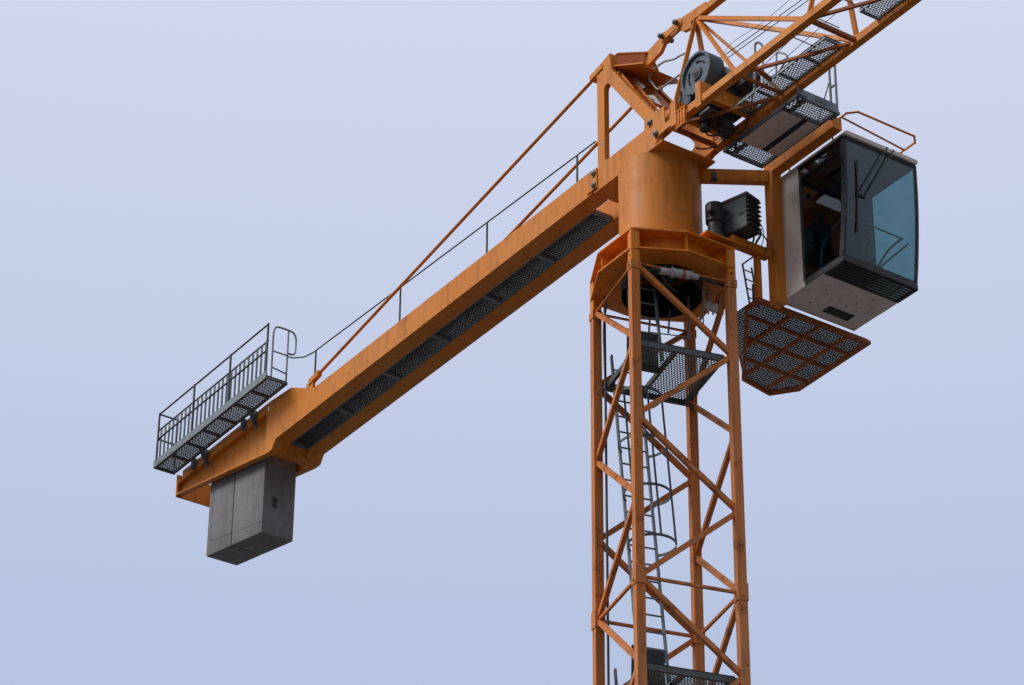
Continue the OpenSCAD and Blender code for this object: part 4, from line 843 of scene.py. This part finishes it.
def frame_windows():
    """Black rubber and pillars round the panes."""
    height, steps, rubber, pillar = lintel_z - sill_z, 8, 0.006, 0.045
    grille_low, grille_high = 25.249, 25.334
    rim = [(screen_x(i / steps), sill_z + height * i / steps) for i in range(steps + 1)]
    parts = []
    for y, inner, outer in ((cab_y0, -0.005, 0.001), (cab_y1, -0.001, 0.005)):
        parts.append(block((pane_x0 - 0.02, y - rubber, sill_z), (pane_x0 + 0.022, y + rubber, lintel_z)))
        for (xa, za), (xb, zb) in zip(rim, rim[1:]):
            side = at_y(y - rubber, ((xa - 0.08, za), (xa + 0.001, za), (xb + 0.001, zb), (xb - 0.08, zb)))
            parts.append(plate(side, (0, 2 * rubber, 0)))
        parts.append(block((pane_x0, y - rubber, sill_z - 0.005), (foot_x, y + rubber, sill_z + 0.022)))
        parts.append(block((pane_x0 + 0.012, y + inner, grille_low), (2.372, y + outer, grille_high)))
        parts.append(block((pane_x0, y - rubber, lintel_z - 0.03), (screen_x(0.96), y + rubber, lintel_z)))
    for (x, z), deep in ((rim[0], 0.05), (rim[-1], -0.06)):
        parts.append(block((x - 0.02, cab_y0, min(z, z + deep)), (x + 0.008, cab_y1, max(z, z + deep))))
    for y0, y1 in ((cab_y0, cab_y0 + pillar), (cab_y1 - pillar, cab_y1)):
        for (xa, za), (xb, zb) in zip(rim, rim[1:]):
            xa, xb = xa - 0.004, xb - 0.004
            parts.append(plate([(xa, y0, za), (xa, y1, za), (xb, y1, zb), (xb, y0, zb)], (0.01, 0, 0)))
    make("window_rubbers", parts, "cab_paint", "window_rubber", soften=0.002)


def furnish_cab():
    """Controls, screen and bars inside the panes, and the foot pane with its grille."""
    mid = (cab_y0 + cab_y1) / 2
    dark = []
    for s in (-1, 1):
        x, y = 1.71, mid + s * 0.34
        dark.append(bent([(x, y, 26.08), (x + 0.01, y, 26.18), (x + 0.05, y, 26.24)], 0.03, 0.03))
        dark.append(bar((x + 0.045, y, 26.23), (x + 0.07, y, 26.31), 0.055, 12))
    stand = [(2.1, mid - 0.45, 25.36), (2.12, mid - 0.45, 26.3), (2.05, mid - 0.4, 26.62)]
    dark.append(bent(stand, 0.035, 0.1))
    dark.append(block((2.0, mid - 0.56, 26.58), (2.05, mid - 0.26, 26.8)))
    dark.append(block((1.0, cab_y0 + 0.06, 26.2), (1.3, cab_y1 - 0.06, 27.3)))
    rail = [(1.56, cab_y1 - 0.07, 25.95), (1.9, cab_y1 - 0.07, 26.0), (2.34, cab_y1 - 0.1, 26.02)]
    dark.append(bent(rail, 0.03, 0.05))
    make("cab_controls", dark, "seat_cloth", soften=0.008)

    low, high = 25.238, 25.2495
    x0, x1, y0, y1 = 1.93, 2.372, cab_y0 - 0.004, cab_y1 + 0.004
    pitch, cross_bars = 0.058, 7
    grille = [block((x0, y0, low), (1.955, y1, high)), block((2.335, y0, low), (x1, y1, high)),
              block((x0, y0, low), (x1, y0 + 0.09, high)), block((x0, y1 - 0.09, low), (x1, y1, high)),
              block((2.352, y0, low), (x1, y1, 25.335))]
    for k in range(cross_bars):
        x = 1.975 + pitch * k
        grille.append(block((x, y0 + 0.05, low - 0.008), (x + 0.02, y1 - 0.05, low + 0.006)))
    grille += [block((1.96, y - 0.008, low - 0.004), (2.34, y + 0.008, low + 0.004))
               for y in (1.72, 2.15, 2.58)]
    # the foot pane's finish is painted light: dark for the shaded cab, pale for the sky seen through it
    make("foot_pane", [block((1.95, 1.53, 25.243), (2.34, 2.77, 25.2492))], "cab_glass", "foot_glass")
    make("foot_grille", grille, "dark_steel", "window_rubber", soften=0.0015)

    rests = [bent([(1.65, y, 25.42), (1.72, y, 25.9), (2.02, y, 26.08), (2.3, y, 26.1)], 0.035, 0.12)
             for y in (mid - 0.52, mid + 0.52)]
    rests.append(bar((2.3, mid - 0.54, 26.1), (2.3, mid + 0.54, 26.1), 0.03, 10))
    make("cab_inner_rail", rests, "cab_paint", "conduit_zinc")


def dress_cab_floor():
    """Pressed bead, bolts and a black plate of painted shade in the recess under the cab, and the seal of its
    roof.
    """
    z = 25.2495
    corners = ((1.1, 1.62), (1.1, 2.0), (1.34, 2.0), (1.34, 2.66), (1.86, 2.66), (1.86, 1.9), (1.62, 1.62))
    make("cab_floor_bead", [bent([(x, y, z) for x, y in corners], 0.012, 0.1, 6)], "cab_paint")
    places = ((1.42, 2.3), (1.56, 2.38), (1.62, 1.75), (1.78, 2.5), (1.2, 1.8), (1.5, 2.72))
    spots = [(x, y, 25.25) for x, y in places]
    make("cab_floor_bolts", bolts(spots, (0, 0, -1), 0.013), "cab_paint", "bare_pin")
    # black plate in the floor recess: painted shade of the hole
    recess = [block((1.085, 2.085, 25.268), (1.295, 2.595, 25.2785))]
    make("floor_recess_shade", recess, "cab_paint", "window_rubber", soften=0.003)
    roof = [block((cab_x0 + 0.02, cab_y0 + 0.012, 27.322), (2.5, cab_y1 - 0.012, 27.334))]
    make("roof_seal", roof, "cab_paint", "window_rubber", soften=0.002)


def add_roof_bar():
    """Inner bar of the cab's roof rail."""
    roof_bar = bar((2.46, 1.485, 27.7), (2.34, 2.815, 27.7), 0.03, 10)
    # its orange paint is darkened as painted shade
    make("roof_rail_inner_bar", [roof_bar], "orange_paint", "underside_painted_shade")


def stand_cab_ladder():
    """Short ladder from the cab platform up to the lower beam."""
    foot, top, gap = Vector((0.66, 1.1, 25.235)), Vector((0.53, 1.1, 26.0)), Vector((0, 0.17, 0))
    parts = [bar(foot, top, 0.03, 10), bar(foot + gap, top + gap, 0.03, 10),
             bar(top, Vector((0.86, 1.1, 26.0)), 0.025, 8)]
    for share in (0.18, 0.41, 0.64, 0.87):
        step = foot + (top - foot) * share
        parts.append(bar(step, step + gap, 0.02, 8))
    web = at_y(1.12, ((0.7, 25.225), (0.9, 25.225), (0.84, 25.5), (0.7, 25.58)))
    parts.append(plate(web, (0, 0.01, 0)))
    make("cab_ladder", parts, "galvanised")


# Ring support and mast

def fill_ring_centre():
    """Dark plate and rotary joint seen through the middle of the ring support."""
    steps = ((25.955, 25.985, 1.215, 48), (25.96, 25.66, 0.34, 32), (25.67, 25.63, 0.4, 32),
             (25.64, 25.52, 0.16, 24))
    parts = stack(0, 0, steps)
    parts += ring_of(block((0.16, -0.02, 25.86), (0.56, 0.02, 25.96)), (0, 0, 0), (0, 0, 1), 6)
    parts.append(block((0.2, 0.14, 25.72), (0.42, 0.34, 25.96)))
    make("rotary_joint", parts, "dark_steel", "machine_black", soften=0.004)


def shade_ring_hole():
    """Black sleeve in the hole through the ring support: painted shade inside the hole."""
    bpy.ops.mesh.primitive_cylinder_add(vertices=64, radius=0.596, depth=0.54, end_fill_type="NOTHING",
                                        location=(0, 0, 25.58))
    lining = shaped(bpy.context.object, "SOLIDIFY", thickness=0.004, offset=1)
    make("ring_hole_shade", [lining], "orange_paint", "window_rubber", body="mast")


def hang_mast_cables():
    """Leads, coupling, sleeve and box that hang under the ring support."""
    z, under = 25.235, 25.32
    joint = [bar((0.655, -0.53, z), (0.72, -0.34, z), 0.105, 20),
             bar((0.715, -0.36, z), (0.8, -0.1, z), 0.125, 20),
             bar((0.8, -0.1, z), (0.825, 0.02, z), 0.09, 16),
             bar((0.71, -0.375, z), (0.72, -0.345, z), 0.15, 24)]
    make("lead_coupling", joint, "cable_sheath", "pale_sheath", soften=0.004, body="mast")
    ring = bar((0.762, -0.22, z), (0.771, -0.19, z), 0.145, 24)
    make("coupling_ring", [ring], "cable_sheath", "red_ring", body="mast")
    routes = [
        ([(0.82, 0.0, z), (0.835, 0.2, z), (0.84, 0.42, z + 0.01), (0.8, 0.56, z + 0.05),
          (0.74, 0.62, under)], 0.05, 0.1),
        ([(0.66, -0.52, z), (0.6, -0.64, z + 0.02), (0.45, -0.72, z + 0.04), (0.2, -0.74, z + 0.05),
          (-0.1, -0.66, under)], 0.045, 0.12),
        ([(0.1, 0.2, 25.54), (0.24, 0.1, 25.3), (0.4, -0.2, z), (0.6, -0.48, z), (0.66, -0.5, z)],
         0.04, 0.12),
        ([(-0.66, -0.52, 25.34), (-0.7, -0.56, 25.0), (-0.69, -0.54, 24.0), (-0.72, -0.52, 22.6),
          (-0.7, -0.53, 20.5), (-0.745, -0.5, 18.6)], 0.032, 0.3),
        ([(0.4, 0.7, 25.19), (0.42, 0.72, 25.26), (0.44, 0.7, under)], 0.02, 0.03),
    ]
    make("mast_leads", [bent(*route) for route in routes], "cable_sheath", body="mast")
    steps = ((18.42, 18.72, 0.075, 16), (18.7, 18.74, 0.086, 16), (18.4, 18.44, 0.086, 16))
    sleeve = stack(-0.75, -0.495, steps)
    make("lead_sleeve", sleeve, "cable_sheath", "window_rubber", soften=0.003, body="mast")
    half = 0.012
    clips = [block((x - half, y - half, z), (x + half, y + half, 25.31))
             for x, y in ((0.68, -0.46), (0.75, -0.25), (0.81, -0.06), (0.84, 0.4))]
    make("lead_clips", clips, "galvanised", "conduit_zinc", body="mast")
    box = [block((0.37, 0.48, 25.08), (0.43, 0.8, 25.19)), block((0.36, 0.47, 25.165), (0.44, 0.81, 25.19)),
           bar((0.4, 0.53, 25.09), (0.4, 0.53, 25.0), 0.03, 8),
           bar((0.4, 0.62, 25.09), (0.4, 0.62, 25.02), 0.03, 8)]
    make("junction_box", box, "cable_sheath", "pale_plastic", soften=0.006, body="mast")
    held = [block((0.385, y0, 25.18), (0.415, y1, 25.42)) for y0, y1 in ((0.52, 0.56), (0.72, 0.76))]
    rods = ((-0.82, 25.58, -0.86, 25.28, 0.03), (-0.7, 25.49, -0.6, 25.11, 0.035),
            (-0.34, 25.4, -0.39, 25.02, 0.03), (0.11, 25.4, 0.1, 24.68, 0.035),
            (0.45, 25.4, 0.44, 24.75, 0.02), (-0.88, 25.28, 0.12, 24.7, 0.02))
    held += [bar((xa, 0.4, za), (xb, 0.4, zb), d, 8) for xa, za, xb, zb, d in rods]
    make("lead_hangers", held, "galvanised", "conduit_zinc", body="mast")


# Ballast

def cast_ballast_block():
    """Two cast halves side by side, with a foot band and a lifting slot drawn as a flat dark patch of painted
    shade.
    """
    x0, seam, x1, top = -13.07, -12.16, -11.07, 27.93
    half, foot, rise, joint = 0.325, 25.98, 0.34, 0.007

    def low(x):
        return foot + rise * (x1 - x) / (x1 - x0)

    parts = []
    for a, b in ((x0, seam - joint), (seam + joint, x1)):
        side = at_y(-half, ((a, low(a)), (b, low(b)), (b, top), (a, top)))
        parts.append(plate(side, (0, 2 * half, 0)))
    parts.append(block((seam - 0.05, -half + 0.03, low(seam) + 0.05), (seam + 0.05, half - 0.03, top - 0.01)))
    make("ballast_block_cast", parts, "concrete", soften=0.035, replaces=("ballast_block",))

    line, start, end = 0.008, x0 + 0.15, x1 - 0.03
    marks = []
    for s in (-1, 1):
        y0, y1 = sorted((s * (half - 0.01), s * (half + 0.0015)))
        left, right = low(x0) + 0.24, low(x1) + 0.22
        band = at_y(y0, ((start, left), (end, right), (end, right + line), (start, left + line)))
        marks.append(plate(band, (0, y1 - y0, 0)))
        marks.append(block((start, y0, low(x0) + 0.06), (start + line, y1, top - 0.02)))
    # the lifting slot is a flat black patch on the end face: painted shade of its hollow
    slot_y, slot_top, slot_foot, inside = -0.09, 26.68, 26.57, x1 - 0.02
    slot = [bar((inside, slot_y, slot_top), (x1 + 0.0015, slot_y, slot_top), 0.12, 24),
            bar((inside, slot_y, slot_foot), (x1 + 0.0015, slot_y, slot_foot), 0.1, 24),
            block((inside, slot_y - 0.035, slot_foot), (x1 + 0.0012, slot_y + 0.035, slot_top))]
    make("ballast_joint_lines_and_slot_shade", marks + slot, "concrete", "seat_cloth")


def dress_ballast_platform():
    """Gate hoop at the inner end, upright bars in the rail and the toe board."""
    x, z, height = -10.06, 28.41, 1.07
    route = [(x, -0.86, z), (x, -0.86, z + 0.98), (x, -0.8, z + height), (x, -0.47, z + height),
             (x, -0.4, z + 0.98), (x, -0.4, z + 0.66), (x, -0.45, z + 0.6), (x, -0.56, z + 0.6)]
    hoop = [bent(route, 0.034, 0.1),
            bent([(x, -0.56, z - 0.03), (x, -0.56, z + height)], 0.034),
            bent([(x, -0.86, z + 0.55), (x, -0.56, z + 0.55)], 0.028),
            bent([(x, -0.86, z + 0.22), (x, -0.56, z + 0.18)], 0.028)]
    make("ballast_gate", hoop, "galvanised")

    y, first, pitch, count, half = -0.94, -13.98, 0.152, 26, 0.012
    upright = block((first, y - 0.006, z + 0.08), (first + 0.052, y + 0.006, z + 0.76))
    bars = copies(upright, [(pitch * k, 0, 0) for k in range(1, count)])
    for dz in (0.08, 0.74):
        bars.append(block((-14.06, y - half, z + dz - half), (-10.08, y + half, z + dz + half)))
    make("ballast_rail_bars", bars, "dark_steel", soften=0.001)
    make("ballast_toe_board", [block((-14.09, -0.985, 28.36), (-10.03, -0.975, 28.5))], "galvanised")


def raise_frame_cheek():
    """Upper strip of the ballast frame's near side, with short brackets to the platform."""
    x0, x1, face, top = -13.85, -10.765, -0.4985, 28.355
    parts = [block((x0, face, 28.18), (x1, -0.486, top)), block((x0, face, 28.34), (x1, -0.44, top))]
    make("frame_cheek", parts, "orange_paint", soften=0.002)
    arms = []
    for x in (-12.9, -11.15):
        arm = [(x, -0.5, 28.05), (x, -0.5, 28.36), (x, -0.72, 28.36), (x, -0.56, 28.05)]
        arms.append(plate(arm, (0.012, 0, 0)))
        arms.append(block((x - 0.03, -0.52, 27.98), (x + 0.04, -0.498, 28.1)))
    make("platform_brackets", arms, "galvanised", "slate_zinc", soften=0.002)


# Life line, service platform and jib

def string_life_line():
    """Line on posts above the inner edge of the far counter-jib beam."""
    y, top = 0.21, 27.915
    (x0, z0), (x1, z1) = (-10.5, 29.5), (-1.9, 29.22)
    parts = []
    for x in (-10.4, -7.6, -4.95, -2.4):
        height = z0 + (z1 - z0) / (x1 - x0) * (x - x0)
        parts.append(bar((x, y, top), (x, y, height), 0.034, 10))
        parts.append(block((x - 0.05, y - 0.012, top - 0.005), (x + 0.05, y + 0.05, top + 0.012)))
    parts.append(bar((x0, y, z0), (x1, y, z1), 0.026, 10))
    end = [(x0, y, z0), (-10.4, -0.02, 29.28), (-10.14, -0.42, 29.0), (-10.06, -0.56, 28.95)]
    parts.append(bent(end, 0.026, 0.1))
    make("counter_jib_life_line", parts, "dark_steel")


def finish_service_platform():
    """Inner frame up to the jib chord, tray panels with a black strip of painted shade in the gap between
    them, toe board and stay.
    """
    x0, x1, inner, outer, low, high = 1.05, 2.8, 0.38, 0.54, 27.425, 27.478
    edge = [block((x0, inner, low), (x1, inner + 0.03, high))]
    edge += [block((x, inner, low), (x + 0.03, outer, high)) for x in (x0, 1.42, 2.375, 2.77)]
    make("platform_inner_frame", edge, "galvanised", "slate_zinc", soften=0.002)
    tray_x0, tray_x1, tray_low, tray_high = 1.45, 2.4, 27.411, 27.4185
    panels = [block((tray_x0, y0, tray_low), (tray_x1, y1, tray_high))
              for y0, y1 in ((0.4, 0.79), (0.89, 1.09))]
    make("tray_panels", panels, "galvanised", "tray_brown", soften=0.002)
    # black strip in the gap between the tray panels: painted shade
    gap = block((tray_x0, 0.785, 27.4145), (tray_x1, 0.895, 27.4188))
    make("tray_gap", [gap], "galvanised", "window_rubber")
    board = [block((2.79, inner, 27.46), (x1, 1.13, 27.58)),
             bar((2.64, 1.14, 28.1), (2.3, 1.14, 27.49), 0.02, 8)]
    make("platform_toe_board", board, "galvanised")


def fit_jib():
    """Hoops and cross rods beside the jib walkway, and the loose wires round the winch."""
    y, chord_z, last_x = 0.1, 27.7, 20.0
    tall = [(2.2, 0.07, 27.72), (2.22, y, 28.47), (2.22, y, 28.58), (2.3, y, 28.57), (2.39, y, 28.46),
            (2.4, 0.08, 27.72)]
    short = [(2.7, 0.07, 27.72), (2.7, y, 28.15), (2.9, y, 27.99), (2.95, y, 27.9), (2.75, 0.08, 27.76)]
    hoops = [bent(tall, 0.035, 0.06, 10), bent(short, 0.03, 0.06, 10)]
    make("walkway_hoops", hoops, "galvanised", "conduit_zinc")
    rods = []
    for k in range(jib_bays):
        for dx in (-0.48, 0.06, 0.6, 1.4):
            x = jib_start + node_pitch * (k + 1) + dx
            if x < last_x:
                rods.append(bar((x, -0.4, chord_z), (x, 0.07, chord_z + 0.005), 0.016, 8))
    make("walkway_cross_rods", rods, "dark_steel")
    slack = [(3.15, 0, 28.76), (2.51, 0, 28.73), (1.77, 0, 28.82), (1.55, 0, 28.7)]
    wires = [bar((3.78, 0.0, 28.15), (2.2, 0.0, 27.93), 0.012, 6), bent(slack, 0.008, 0.2, 6),
             bar((4.05, 0.05, 27.97), (2.2, 0.05, 27.8), 0.01, 6)]
    make("winch_wires", wires, "dark_steel")
    stub = bar((2.68, -0.4, 27.75), (2.55, 0.07, 27.75), 0.075, 20)
    # its orange paint is darkened as painted shade
    make("rope_guide_stub", [stub], "orange_paint", "underside_painted_shade")


# The whole crane

add_camera()
add_sun()
add_sky()
add_floor()
coat_frame_nodes()
lay_gratings()
lay_rest_gratings()
build_cable_tray()
build_head_conduit()
build_head_plates()
add_pin_heads()
close_head_soffit()
build_jib_foot()
add_head_bolts()
dress_winch()
build_slewing_motor()
dress_resistor_box()
build_motor_cables()
hang_work_lamp()
frame_windows()
furnish_cab()
dress_cab_floor()
cast_ballast_block()
dress_ballast_platform()
fill_ring_centre()
shade_ring_hole()
raise_frame_cheek()
hang_mast_cables()
stand_cab_ladder()
string_life_line()
finish_service_platform()
add_roof_bar()
fit_jib()
